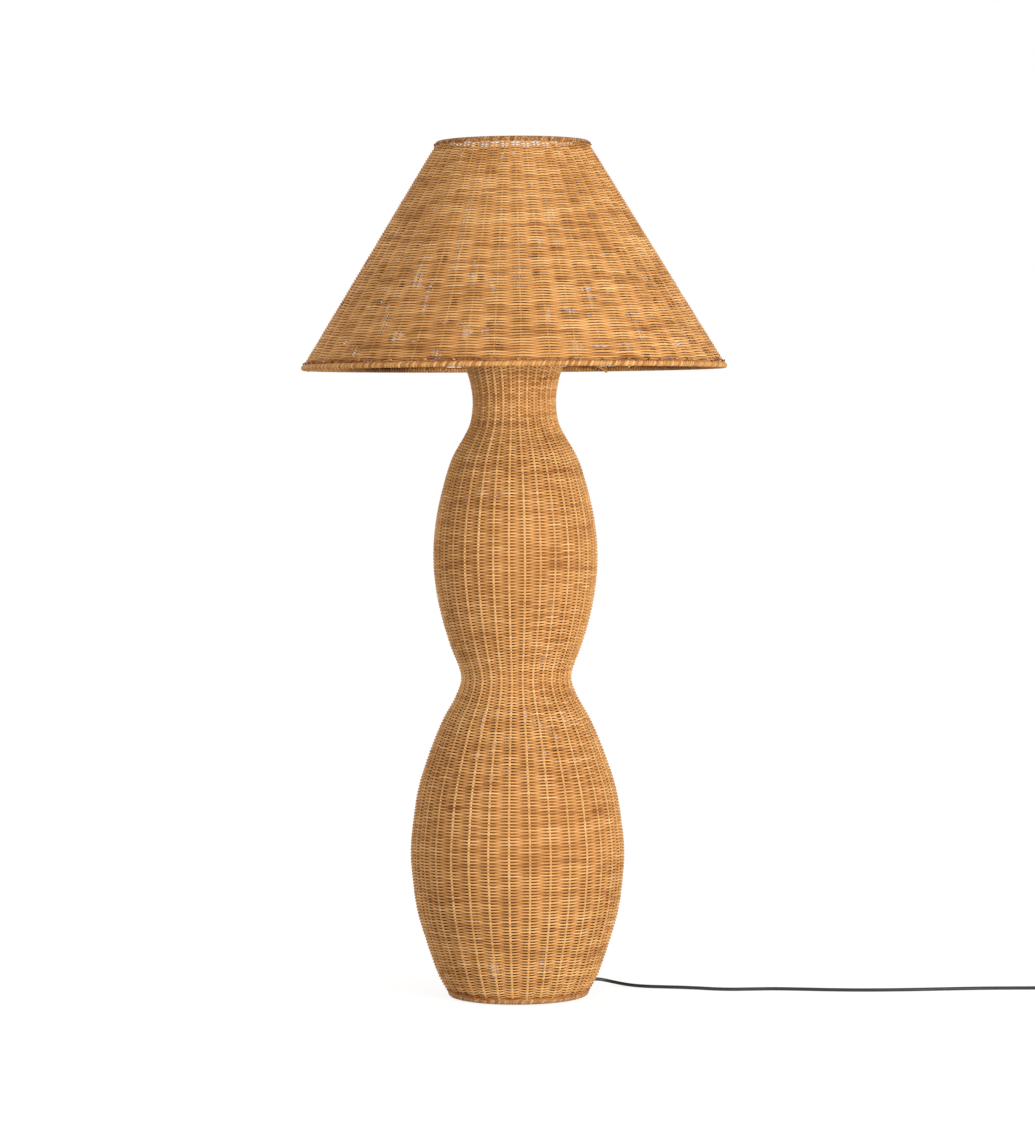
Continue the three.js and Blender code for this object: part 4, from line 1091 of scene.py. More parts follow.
@dataclass
class FootSwitch:
    """The switch on the lead: a base, a cover and a button that moves.

    Attributes:
        centre: Of its footprint.
        length: Along the lead.
        width: Across the lead.
        base_high: Top of the base.
        cover_low: Underside of the cover.
        cover_high: Top of the cover.
        button_radius: Of the button.
        button_rise: How far the button stands out of the cover.
        button_travel: How far the button goes down.
        button_clearance: Between the pressed button and the base.
        button_edge: Inset, and depth under the top, of the corners round the button's top.
        button_dish: Depth of the middle of the button's top.
        cover_edge: Inset, and depth under the top, of each level of the cover's round edge.
        well_clearance: Between the button and the cover's well.
        well_edge: Radius, as a share of the well's, and depth of each level of the well's edge.
        base_foot: Inset and height of each level of the base's round foot.
        base_bevel: Of the base's upper edge.
    """

    centre: tuple[float, float] = (0.792, 0.014)
    length: float = 68 * MM
    width: float = 34 * MM
    base_high: float = 10 * MM
    cover_low: float = 10.3 * MM
    cover_high: float = 19.3 * MM
    button_radius: float = 11 * MM
    button_rise: float = 4 * MM
    button_travel: float = 3 * MM
    button_clearance: float = 0.3 * MM
    button_edge: Corners = ((0, 1 * MM), (1.2 * MM, 0), (3 * MM, 0.1 * MM), (4 * MM, 0.8 * MM))
    button_dish: float = 1.2 * MM
    cover_edge: Corners = ((0, 4.5 * MM), (0.5 * MM, 2.6 * MM), (1.7 * MM, 1 * MM), (3.4 * MM, 0.25 * MM))
    well_clearance: float = 0.4 * MM
    well_edge: Corners = ((1.16, 0), (1.03, 0), (1.0, 0.4 * MM))
    base_foot: Corners = ((1.6 * MM, 0), (0.5 * MM, 0.4 * MM), (0, 1.4 * MM))
    base_bevel: float = 0.3 * MM

    def loops(self, levels: Sequence[tuple[float, float]]) -> list[np.ndarray]:
        """Draws the switch's long round footprint at several levels.

        Args:
            levels: Inset and height of each level.

        Returns:
            The corners of each level.
        """
        made = []
        for inset, z in levels:
            loop = rounded_loop(self.length - 2 * inset, self.width - 2 * inset, self.width)
            made.append(level(loop + self.centre, z))
        return made

    def base(self) -> bpy.types.Object:
        """Makes the base and returns it."""
        levels = [*self.base_foot, (0, self.base_high - self.base_bevel), (self.base_bevel, self.base_high)]
        return lofted("foot_switch_base", self.loops(levels))

    def cover(self) -> bpy.types.Object:
        """Makes the cover, with a round well for the button.

        Returns:
            The cover.
        """
        edge = [(inset, self.cover_high - depth) for inset, depth in self.cover_edge]
        loops = self.loops([(0, self.cover_low), *edge])
        well = rounded_loop(1.0, 1.0, 0.5) * 2 * (self.button_radius + self.well_clearance)
        for share, depth in self.well_edge:
            loops.append(level(well * share + self.centre, self.cover_high - depth))
        loops.append(level(well + self.centre, self.cover_low))
        return lofted("foot_switch_cover", loops, cyclic=True)

    def button(self) -> bpy.types.Object:
        """Makes the button, with a dished top and a raised ring.

        Returns:
            The button.
        """
        high = self.cover_high + self.button_rise
        low = self.base_high + self.button_travel + self.button_clearance
        outline = [(0, low), (self.button_radius, low)]
        outline += [(self.button_radius - inset, high - depth) for inset, depth in self.button_edge]
        outline.append((0, high - self.button_dish))
        button = turned("foot_switch_button", rounded(outline, cut=0.6 * MM), facets=64)
        button.data.transform(Matrix.Translation((*self.centre, 0)))
        return button

    def build(self) -> list[bpy.types.Object]:
        """Makes the switch.

        Returns:
            Its pieces.
        """
        pieces = [self.base(), self.cover(), self.button()]
        bodies, nodes = ("lamp", "lamp", "button"), ("switch_base", "switch_cover", "switch_button")
        for piece, body, node in zip(pieces, bodies, nodes, strict=True):
            settle(dressed(piece, BLACK_PLASTIC), body, "black_plastic", node)
        return pieces


@dataclass
class Plug:
    """The plug that lies beside the coil, with its pins towards -X.

    Attributes:
        face: Middle of the face that the pins stand on.
        width: Across the pins.
        thickness: Height of the body as it lies.
        body_length: Of the moulded body.
        boot_length: Of the ribbed boot behind it.
        pin_spacing: Between the pins' middles.
        pin_radius: Of the pins.
        pin_length: Of the pins.
        pin_sunk: How far a pin goes into the body.
        pin_tip: Radius of the pin's round tip, and its distance from the end, as shares of the pin's radius.
        corner_share: Radius of the body's corners, as a share of its thickness.
        body_shares: Place along the body, and share of the width and of the thickness there.
        boot_radius: Of the boot's first rib.
        boot_mouth: Radius of the boot's end.
        boot_sunk: How far the boot goes into the body.
        boot_ribs: How many ribs the boot has.
        boot_taper: How much smaller each rib is than the one before it.
        boot_rib: What is added to the radius and the place at each corner of a rib.
    """

    face: Point = (0.776, -0.052, 0.007)
    width: float = 35 * MM
    thickness: float = 14 * MM
    body_length: float = 32 * MM
    boot_length: float = 22 * MM
    pin_spacing: float = 18.6 * MM
    pin_radius: float = 2 * MM
    pin_length: float = 19 * MM
    pin_sunk: float = 1 * MM
    pin_tip: Corners = ((1.0, 0.9), (0.55, 0.1))
    corner_share: float = 0.42
    body_shares: tuple[Point, ...] = (
        (0, 0.93, 0.8), (0.02, 0.98, 0.94), (0.06, 1, 1), (0.34, 1, 1), (0.4, 0.98, 1), (0.52, 0.84, 1),
        (0.55, 0.8, 0.95), (0.58, 0.78, 1), (0.68, 0.68, 1), (0.71, 0.64, 0.95), (0.74, 0.63, 1),
        (0.84, 0.54, 1), (0.87, 0.5, 0.93), (0.9, 0.49, 0.96), (0.97, 0.44, 0.9), (1, 0.38, 0.78),
    )
    boot_radius: float = 5.5 * MM
    boot_mouth: float = 3.5 * MM
    boot_sunk: float = 3 * MM
    boot_ribs: int = 6
    boot_taper: float = 0.28 * MM
    boot_rib: Corners = ((0, 0.4 * MM), (0, 2.3 * MM), (-0.9 * MM, 2.7 * MM), (-0.9 * MM, 3.5 * MM))

    def body(self) -> bpy.types.Object:
        """Makes the moulded body from cross-sections along its length.

        Returns:
            The body.
        """
        loops = []
        for along, wide, thick in self.body_shares:
            corner = self.thickness * self.corner_share
            loop = rounded_loop(self.width * wide, self.thickness * thick, corner)
            x = np.full((len(loop), 1), along * self.body_length)
            loops.append(np.hstack([x, loop]) + self.face)
        return dressed(lofted("plug_moulding", loops), BLACK_PLASTIC)

    def boot(self) -> bpy.types.Object:
        """Makes the ribbed boot that the lead goes into.

        Returns:
            The boot.
        """
        outline = [(0, -self.boot_sunk), (self.boot_radius, -self.boot_sunk)]
        for k in range(self.boot_ribs):
            low = k * self.boot_length / self.boot_ribs
            radius = self.boot_radius - self.boot_taper * k
            outline += [(radius + wider, low + along) for wider, along in self.boot_rib]
        outline[-1] = (self.boot_mouth, self.boot_length)
        outline.append((0, self.boot_length))
        start = np.array(self.face) + [self.body_length, 0, 0]
        boot = turned("plug_boot", rounded(outline, cut=0.4 * MM, steps=2), facets=32)
        return dressed(laid(boot, start, (1, 0, 0)), BLACK_PLASTIC)

    def pin(self, name: str, side: float) -> bpy.types.Object:
        """Makes a round-ended pin.

        Args:
            name: The pin's name.
            side: Its side of the middle, 1 or -1.

        Returns:
            The pin.
        """
        radius, length = self.pin_radius, self.pin_length
        outline = [(0, -self.pin_sunk), (radius, -self.pin_sunk)]
        outline += [(radius * wide, length - radius * short) for wide, short in self.pin_tip]
        outline.append((0, length))
        start = np.array(self.face) + [0, side * self.pin_spacing / 2, 0]
        pin = turned(name, rounded(outline, cut=0.4 * MM), facets=28)
        return dressed(laid(pin, start, (-1, 0, 0)), ZINC)

    def build(self) -> list[bpy.types.Object]:
        """Makes the plug.

        Returns:
            Its pieces.
        """
        moulding, boot = self.body(), self.boot()
        near, far = self.pin("plug_blade_1", 1), self.pin("plug_blade_2", -1)
        settle(moulding, "lamp", "black_plastic", "plug_body")
        settle(boot, "lamp", "black_plastic", "plug_body")
        settle(near, "lamp", "zinc", "plug_pin_1")
        settle(far, "lamp", "zinc", "plug_pin_2")
        return [moulding, boot, near, far]


@dataclass
class CoilTie:
    """The flat tie round one side of the coil.

    Attributes:
        thickness: Of the band.
        round_radius: Of its corners.
    """

    thickness: float = 0.8 * MM
    round_radius: float = 3 * MM

    def build(self) -> bpy.types.Object:
        """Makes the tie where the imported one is.

        Returns:
            The tie.
        """
        low, high = (np.array(c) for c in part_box("coil_tie"))
        middle, size = (low + high) / 2, high - low
        loops = []
        for y, inset in ((-1, 0.0), (1, 0.0), (1, self.thickness), (-1, self.thickness)):
            loop = rounded_loop(size[0] - 2 * inset, size[2] - 2 * inset, self.round_radius - inset)
            aside = np.full(len(loop), y * size[1] / 2)
            loops.append(np.stack([loop[:, 0], aside, loop[:, 1]], 1) + middle)
        tie = dressed(lofted("coil_band", loops, cyclic=True), BLACK_PLASTIC)
        settle(tie, "lamp", "black_plastic", "coil_tie")
        return tie


# Woven surfaces


class StrandTree(PartTree):
    """The tree of two strands, woven in turn up a turned surface round an even number of stakes.

    One strand passes in front of every other stake and the next strand in front of the rest.

    Attributes:
        full_waver_from: Share of the surface, from each edge, at which the rows waver fully.
        loose_shares: Shares of the surface between which the weave gets less loose, going up.
        loose_parts: How much of the looseness there is below and above them.
        top_shares: Shares of the surface between which the loose top rows start.
        top_patches: Range of the patches' noise that makes the top rows more or less loose.
        top_parts: How much of the top rows' looseness there is at its ends.
        most_thinned: The largest share by which a strand is thinned.
        swells_per_turn: How often a strand swells and thins in a turn.
        swell: A strand's smallest and largest radius, as shares of its own.
        streak_scale: How fine the streaks of tone are, across, along and up.
        patch_scale: How fine the broad patches of tone are, across, along and up.
        loose_salt: What sets the noise of the loose patches apart from the others.
        streak_salt: What sets the noise of the streaks apart.
        patch_salt: What sets the noise of the broad patches apart.
    """

    full_waver_from: float = 0.03
    loose_shares: Span = (0.35, 0.65)
    loose_parts: Span = (1.0, 0.35)
    top_shares: Span = (0.955, 0.975)
    top_patches: Span = (0.35, 0.55)
    top_parts: Span = (0.5, 1.0)
    most_thinned: float = 0.5
    swells_per_turn: float = 9.0
    swell: Span = (0.9, 1.1)
    streak_scale: Point = (9.0, 9.0, 420.0)
    patch_scale: Point = (14.0, 14.0, 60.0)
    loose_salt: float = 7.0
    streak_salt: float = 3.0
    patch_salt: float = 5.0

    def __init__(self, material: bpy.types.Material) -> None:
        """Makes the tree.

        Args:
            material: The strands' material.
        """
        super().__init__("strands", {
            "Rows": 100.0, "First Row": 0.0, "Points": 100, "Steps Per Turn": 100, "Stakes": 32,
            "Stake Angle": 0.0, "Strand Radius": 1.2 * MM, "Wave Depth": 2 * MM, "Sides": 6,
            "Waver": 1 * MM, "Waver Size": 20 * MM, "Looseness": 0.0, "Loose Size": 14 * MM,
            "Loose From": 0.6, "Loose Top": 0.0, "Streak": 0.5, "Patch": 0.3, "Edge Rows": 3.0,
            "Edge Painted Shade": 0.0, "Seed": 1.0,
        })
        line = self.line()
        length = self.add("GeometryNodeCurveLength", {0: line}).outputs[0]
        turns = self.maths("DIVIDE", self.index(), self.size("Steps Per Turn"))
        tubes = [self.strand(line, length, turns, number) for number in (0, 1)]
        joined = self.add("GeometryNodeJoinGeometry")
        for tube in reversed(tubes):
            self.tree.links.new(tube, joined.inputs[0])
        self.finish(joined.outputs[0], material)

    def strand(self, line: Socket, length: Socket, turns: Socket, number: int) -> Socket:
        """Adds one of the two strands.

        Args:
            line: The surface's outline.
            length: The outline's length.
            turns: How many turns each of the strand's points is from its start.
            number: The strand, 0 or 1.

        Returns:
            The strand as a tube.
        """
        size = self.size
        row = self.plus(size("First Row"), float(number), self.times(turns, 2.0))
        share = self.maths("MAXIMUM", self.maths("DIVIDE", row, self.plus(size("Rows"), 1.0)), 0.0)
        angle = self.plus(self.times(turns, TURN), size("Stake Angle"), TURN / 2)
        across, along = self.maths("COSINE", angle), self.maths("SINE", angle)
        radius, _, height = self.separated(self.on_line(line, share)[0])
        mean_place = self.combined(self.times(radius, across), self.times(radius, along), height)

        grain = self.maths("DIVIDE", 1.0, size("Waver Size"))
        waver = self.noise(self.scaled(mean_place, grain), size("Seed"), detail=2.0)
        edge = self.maths("MINIMUM", share, self.maths("SUBTRACT", 1.0, share))
        settled = self.mapped(edge, (0.0, self.full_waver_from), WHOLE)
        shift = self.times(self.plus(waver, -0.5), 2.0, size("Waver"), settled)
        place, direction = self.on_line(line, self.plus(share, self.maths("DIVIDE", shift, length)))
        radius, _, height = self.separated(place)
        inwards, _, upwards = self.separated(direction)
        half_wave = self.times(turns, TURN, size("Stakes"), 0.5)
        wave = self.times(self.maths("COSINE", half_wave), 1.0 - 2.0 * number)
        out = self.times(wave, size("Wave Depth"))
        radius = self.plus(radius, self.times(out, upwards))
        height = self.plus(height, self.times(out, inwards, -1.0))
        woven_place = self.combined(self.times(radius, across), self.times(radius, along), height)

        curve = self.placed(self.points(size("Points")), woven_place)
        curve = self.marked(curve, "tone", self.tone(row, mean_place))
        # How far out of the hollows the strand lies; the material paints shade from it onto the strands that
        # run behind.
        curve = self.marked(curve, "raised", self.mapped(wave, (-1.0, 1.0), WHOLE))
        thickness = self.thickness(turns, share, mean_place, number)
        return self.tube(curve, self.circle(1.0, size("Sides")), thickness)

    def thickness(self, turns: Socket, share: Socket, place: Socket, number: int) -> Socket:
        """Works out a strand's radius: thinner in loose patches and in the top rows, and a bit uneven.

        Args:
            turns: How many turns each point is from the strand's start.
            share: How far up the surface each point lies, from 0 to 1.
            place: Where each point lies on the surface.
            number: The strand, 0 or 1.

        Returns:
            The radius at each point.
        """
        size = self.size
        grain = self.maths("DIVIDE", 1.0, size("Loose Size"))
        patches = self.noise(self.scaled(place, grain), self.plus(size("Seed"), self.loose_salt))
        over = self.maths("MAXIMUM", self.maths("SUBTRACT", patches, size("Loose From")), 0.0)
        lower_down = self.mapped(share, self.loose_shares, self.loose_parts)
        patchy = self.times(over, size("Looseness"), lower_down)
        topmost = self.times(self.mapped(share, self.top_shares, WHOLE), size("Loose Top"))
        topmost = self.times(topmost, self.mapped(patches, self.top_patches, self.top_parts))
        thinned = self.maths("MINIMUM", self.maths("MAXIMUM", patchy, topmost), self.most_thinned)
        swelling = self.combined(self.times(turns, self.swells_per_turn), float(number), 0.0)
        swell = self.mapped(self.noise(swelling, size("Seed")), NOISE_WIDE, self.swell)
        return self.times(size("Strand Radius"), self.maths("SUBTRACT", 1.0, thinned), swell)

    def tone(self, row: Socket, place: Socket) -> Socket:
        """Works out how light a strand is: streaked, in broad patches, and with painted shade along the low
        edge, next to the rim.

        Args:
            row: The row that each point lies in.
            place: Where each point lies on the surface.

        Returns:
            The tone at each point, around 0.5.
        """
        size = self.size
        streaks = self.stretched(place, *self.streak_scale)
        streaks = self.noise(streaks, self.plus(size("Seed"), self.streak_salt), detail=2.0)
        patches = self.stretched(place, *self.patch_scale)
        patches = self.noise(patches, self.plus(size("Seed"), self.patch_salt))
        streaked = self.times(self.plus(streaks, -0.5), size("Streak"))
        tone = self.plus(0.5, streaked, self.times(self.plus(patches, -0.5), size("Patch")))
        # Painted shade: the rows along the low edge, where the strands meet the rim, are made darker.
        past_edge = self.maths("SUBTRACT", row, size("Edge Rows"))
        at_edge = self.mapped(past_edge, WHOLE, (1.0, 0.0))
        return self.plus(tone, self.times(at_edge, size("Edge Painted Shade")))


class StakeTree(PartTree):
    """The tree of the stakes that a strand is woven round.

    Attributes:
        grain_scale: How fine the grain of the tone is along X, Y and Z.
        grain_tone: How much darker and lighter the grain is.
    """

    grain_scale: Point = (45.0, 45.0, 6.0)
    grain_tone: Span = (-0.15, 0.15)

    def __init__(self, material: bpy.types.Material) -> None:
        """Makes the tree.

        Args:
            material: The stakes' material.
        """
        super().__init__("stakes", {
            "Stakes": 32, "Stake Angle": 0.0, "Stake Radius": 1.6 * MM, "Sides": 8, "Steps": 60,
            "Seed": 1.0, "Tone": 0.7,
        })
        size = self.size
        resampled = {"Curve": self.line(), "Count": size("Steps")}
        line = self.add("GeometryNodeResampleCurve", resampled).outputs[0]
        stake = self.tube(line, self.circle(1.0, size("Sides")), size("Stake Radius"))
        points = self.add("GeometryNodePoints", {"Count": size("Stakes")}).outputs[0]
        share = self.maths("DIVIDE", self.index(), size("Stakes"))
        angle = self.plus(self.times(share, TURN), size("Stake Angle"))
        stakes = self.copied(points, stake, self.combined(0.0, 0.0, angle), (1.0, 1.0, 1.0))
        real = self.add("GeometryNodeRealizeInstances", {0: stakes}).outputs[0]
        place = self.add("GeometryNodeInputPosition").outputs[0]
        grain = self.noise(self.stretched(place, *self.grain_scale), size("Seed"))
        tone = self.plus(size("Tone"), self.mapped(grain, NOISE_NARROW, self.grain_tone))
        self.finish(self.marked(self.marked(real, "tone", tone), "raised", 1.0), material)


@dataclass
class Weave:
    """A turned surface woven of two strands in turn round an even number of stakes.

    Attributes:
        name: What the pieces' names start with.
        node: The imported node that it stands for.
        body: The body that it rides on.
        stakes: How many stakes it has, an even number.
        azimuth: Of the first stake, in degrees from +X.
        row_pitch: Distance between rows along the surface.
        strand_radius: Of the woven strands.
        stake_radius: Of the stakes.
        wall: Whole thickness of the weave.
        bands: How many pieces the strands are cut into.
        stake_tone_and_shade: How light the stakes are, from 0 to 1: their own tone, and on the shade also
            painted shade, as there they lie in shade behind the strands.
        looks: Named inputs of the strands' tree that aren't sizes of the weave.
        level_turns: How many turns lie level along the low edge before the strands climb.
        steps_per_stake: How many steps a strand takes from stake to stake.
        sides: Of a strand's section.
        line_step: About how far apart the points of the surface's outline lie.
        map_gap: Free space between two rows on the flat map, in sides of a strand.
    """

    name: str
    node: str
    body: str
    stakes: int
    azimuth: float
    row_pitch: float
    strand_radius: float
    stake_radius: float
    wall: float
    bands: int
    stake_tone_and_shade: float
    looks: dict[str, float] = field(default_factory=dict)
    level_turns: int = 1
    steps_per_stake: int = 4
    sides: int = 6
    line_step: float = 4 * MM
    map_gap: float = 0.5

    def line(self) -> np.ndarray:
        """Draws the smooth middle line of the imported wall, from the corners of its faces at a stake.

        Returns:
            The line's points, with y at 0, from the low edge up.
        """
        slack = MM / 20
        corners = section(self.node, self.azimuth)
        middles = []
        for i, one in enumerate(corners):
            for other in corners[i + 1:]:
                if abs(np.linalg.norm(one - other) - self.wall) < slack:
                    middles.append(((one[0] + other[0]) / 2, 0.0, (one[1] + other[1]) / 2))
        return smooth_line(sorted(middles, key=lambda p: p[2]), self.line_step)

    def strands(self, part: StrandTree) -> None:
        """Makes the two strands, in bands.

        Args:
            part: The strands' tree.
        """
        line = self.line()
        length = float(np.linalg.norm(np.diff(line, axis=0), axis=1).sum())
        turns = round((length - 2 * self.strand_radius) / self.row_pitch / 2)
        steps = self.stakes * self.steps_per_stake
        cuts = [round(turns * k / self.bands) for k in range(self.bands + 1)]
        cuts[0] = -self.level_turns
        for k, (first, last) in enumerate(zip(cuts, cuts[1:], strict=False)):
            band = grown(f"{self.name}_strands_{k + 1}", line, part, {
                "Rows": float(2 * turns), "First Row": float(2 * first),
                "Points": (last - first) * steps + 1, "Steps Per Turn": steps,
                "Stakes": self.stakes, "Stake Angle": math.radians(self.azimuth),
                "Strand Radius": self.strand_radius, "Wave Depth": self.wall / 2 - self.strand_radius,
                "Sides": self.sides, **self.looks,
            })
            self.lay_map(band.data, steps, last - first)
            settle(band, self.body, "rattan_weave", self.node)

    def lay_map(self, mesh: bpy.types.Mesh, steps: int, turns: int) -> None:
        """Gives a band a flat map, with its rows above each other and its turns unrolled.

        Args:
            mesh: The band's mesh.
            steps: How many rings of corners a turn has.
            turns: How many turns each strand has in this band.
        """
        corner = np.empty(len(mesh.loops), np.int32)
        mesh.loops.foreach_get("vertex_index", corner)
        first = np.empty(len(mesh.polygons), np.int32)
        count = np.empty(len(mesh.polygons), np.int32)
        mesh.polygons.foreach_get("loop_start", first)
        mesh.polygons.foreach_get("loop_total", count)
        ring, side = corner // self.sides, corner % self.sides
        strand, ring = ring // (turns * steps + 1), ring % (turns * steps + 1)
        turn = np.repeat(np.minimum.reduceat(ring, first) // steps, count)
        low = np.repeat(np.minimum.reduceat(side, first), count)
        high = np.repeat(np.maximum.reduceat(side, first), count)
        side = np.where((side == low) & (high - low == self.sides - 1), self.sides, side)
        across = (ring - turn * steps) / steps
        row, pitch = 2 * turn + strand, self.sides + self.map_gap
        up = (row * pitch + side) / ((2 * turns + 2) * pitch)
        layer = mesh.uv_layers.new(name="OFBake")
        layer.uv.foreach_set("vector", np.stack([across, up], 1).clip(0, 1).astype(np.float32).ravel())

    def build(self, strands: StrandTree, stakes: StakeTree) -> None:
        """Makes the strands and the stakes.

        Args:
            strands: The strands' tree.
            stakes: The stakes' tree.
        """
        self.strands(strands)
        piece = grown(f"{self.name}_stakes", self.line(), stakes, {
            "Stakes": self.stakes, "Stake Angle": math.radians(self.azimuth),
            "Stake Radius": self.stake_radius, "Tone": self.stake_tone_and_shade,
        })
        settle(piece, self.body, "rattan_weave", self.node)


# Bindings


class WrapTree(PartTree):
    """The tree of a flat strand wound round the rim.

    Attributes:
        proud_step: How far the noise goes from wrap to wrap that lets a wrap stand proud.
        stray_step: How far the noise goes from wrap to wrap that lets a wrap stray.
        stray_salt: What sets that second noise apart from the first.
        wrap_tone_and_light: How much darker and lighter a wrap is: tone that differs from wrap to wrap, and
            painted light and shade, as a wrap that stands proud is lighter and a sunk one darker.
        strand_sides: Of the strand's section.
    """

    proud_step: float = 0.73
    stray_step: float = 0.81
    stray_salt: float = 9.0
    wrap_tone_and_light: Span = (-0.3, 0.3)
    strand_sides: int = 8

    def __init__(self, material: bpy.types.Material) -> None:
        """Makes the tree.

        Args:
            material: The strand's material.
        """
        super().__init__("wrap", {
            "Ring Radius": 0.3, "Ring Height": 0.9, "Tilt": 0.0, "Half Height": 4 * MM,
            "Half Width": 4 * MM, "Wraps": 400, "Steps Per Wrap": 12, "Strand Half Width": 2 * MM,
            "Strand Half Thickness": 0.5 * MM, "Unevenness": 0.3 * MM, "Slant": 0.0, "Stray": 0.0,
            "Tone": 0.5, "Seed": 1.0,
        })
        size = self.size
        total = self.times(size("Wraps"), size("Steps Per Wrap"))
        wraps = self.maths("DIVIDE", self.index(), size("Steps Per Wrap"))
        section_angle = self.times(wraps, TURN)
        wrap = self.maths("FLOOR", self.plus(wraps, 0.5))
        proud = self.noise(self.combined(self.times(wrap, self.proud_step), 0.0, 0.0), size("Seed"))
        stray = self.combined(self.times(wrap, self.stray_step), self.stray_salt, 0.0)
        stray = self.noise(stray, size("Seed"))

        at_outside = self.plus(self.maths("COSINE", section_angle), 1.0)
        ahead = self.plus(
            self.times(self.maths("SINE", section_angle), size("Slant")),
            self.times(self.plus(stray, -0.5), at_outside, size("Stray")),
        )
        ahead = self.maths("DIVIDE", ahead, size("Ring Radius"))
        turn = self.plus(self.times(self.maths("DIVIDE", self.index(), total), TURN), ahead)
        swell = self.times(self.plus(proud, -0.5), size("Unevenness"), 2.0)
        out = self.times(self.maths("COSINE", section_angle), self.plus(size("Half Width"), swell))
        up = self.times(self.maths("SINE", section_angle), self.plus(size("Half Height"), swell))
        lean, rise = self.maths("SINE", size("Tilt")), self.maths("COSINE", size("Tilt"))
        radial = self.plus(self.times(out, rise), self.times(up, lean, -1.0))
        height = self.plus(self.times(out, lean), self.times(up, rise))
        across, along = self.maths("COSINE", turn), self.maths("SINE", turn)
        radius = self.plus(size("Ring Radius"), radial)
        z = self.plus(size("Ring Height"), height)
        place = self.combined(self.times(radius, across), self.times(radius, along), z)
        normal = self.combined(self.times(radial, across), self.times(radial, along), height)

        curve = self.placed(self.points(total), place)
        curve = self.add("GeometryNodeSetSplineCyclic", {"Geometry": curve, "Cyclic": True}).outputs[0]
        outwards = {"Curve": curve, "Normal": normal}
        curve = self.add("GeometryNodeSetCurveNormal", outwards, mode="FREE").outputs[0]
        # A wrap that stands proud is made lighter and a sunk one darker: partly random tone, partly painted
        # highlight and shade.
        tone = self.plus(size("Tone"), self.mapped(proud, NOISE_WIDE, self.wrap_tone_and_light))
        curve = self.marked(self.marked(curve, "tone", tone), "raised", 1.0)
        flat = self.combined(size("Strand Half Thickness"), size("Strand Half Width"), 1.0)
        strand = {"Geometry": self.circle(1.0, self.strand_sides), "Scale": flat}
        profile = self.add("GeometryNodeTransform", strand).outputs[0]
        self.finish(self.tube(curve, profile, 1.0), material)


class KnotTree(PartTree):
    """The tree of the small knots and tucked ends along a rim.

    Attributes:
        shift: How far a knot lies off its even place, in spaces between knots.
        swell: The smallest and the largest knot, as shares of the plain one.
        turns: How far a knot is turned about X and about Y, in radians.
        grain_scale: How fine the grain of the tone is.
        grain_seed: Which grain it is.
        tones: The darkest and the lightest tone.
        ball_steps: How often the round of a knot is divided.
    """

    shift: Span = (-0.35, 0.35)
    swell: Span = (0.7, 1.25)
    turns: tuple[Span, Span] = ((-0.9, 0.9), (-0.5, 0.5))
    grain_scale: float = 160.0
    grain_seed: float = 4.0
    tones: Span = (0.1, 0.75)
    ball_steps: int = 2

    def __init__(self, material: bpy.types.Material) -> None:
        """Makes the tree.

        Args:
            material: The knots' material.
        """
        super().__init__("knots", {
            "Ring Radius": 0.3, "Ring Height": 0.9, "Knots": 200, "Knot Length": 2.4 * MM,
            "Knot Radius": 0.8 * MM, "Scatter": 1.2 * MM, "Tilt": 0.0, "Seed": 1,
        })
        size = self.size
        points = self.add("GeometryNodePoints", {"Count": size("Knots")}).outputs[0]
        place = self.plus(self.index(), self.random(self.shift, 1))
        angle = self.times(self.maths("DIVIDE", place, size("Knots")), TURN)
        rise = self.times(self.random((-1.0, 1.0), 2), size("Scatter"))
        inwards = self.times(rise, self.maths("SINE", size("Tilt")), -1.0)
        radius = self.plus(size("Ring Radius"), inwards)
        height = self.plus(size("Ring Height"), self.times(rise, self.maths("COSINE", size("Tilt"))))
        x = self.times(radius, self.maths("COSINE", angle))
        y = self.times(radius, self.maths("SINE", angle))
        points = self.placed(points, self.combined(x, y, height))

        round_one = {"Radius": 1.0, "Subdivisions": self.ball_steps}
        ball = self.add("GeometryNodeMeshIcoSphere", round_one).outputs[0]
        swell = self.random(self.swell, 3)
        thick = self.times(size("Knot Radius"), swell)
        scale = self.combined(thick, self.times(size("Knot Length"), swell, 0.5), thick)
        turn = self.combined(self.random(self.turns[0], 4), self.random(self.turns[1], 5), angle)
        knots = self.copied(points, ball, turn, scale)
        real = self.add("GeometryNodeRealizeInstances", {0: knots}).outputs[0]
        spot = self.add("GeometryNodeInputPosition").outputs[0]
        grain = self.noise(self.scaled(spot, self.grain_scale), self.grain_seed)
        real = self.marked(real, "tone", self.mapped(grain, NOISE_NARROW, self.tones))
        self.finish(self.marked(real, "raised", 1.0), material)

    def random(self, limits: Span, salt: int) -> Socket:
        """Draws a random number for each knot.

        Args:
            limits: The lowest and the highest number.
            salt: What sets this draw apart from the others.

        Returns:
            The numbers.
        """
        seed = self.plus(self.size("Seed"), salt)
        node = self.add("FunctionNodeRandomValue", {"Seed": seed}, data_type="FLOAT")
        ends = dict(zip(("Min_001", "Max_001"), limits, strict=True))
        for socket in node.inputs:
            if socket.identifier in ends:
                socket.default_value = ends[socket.identifier]
        return node.outputs[1]


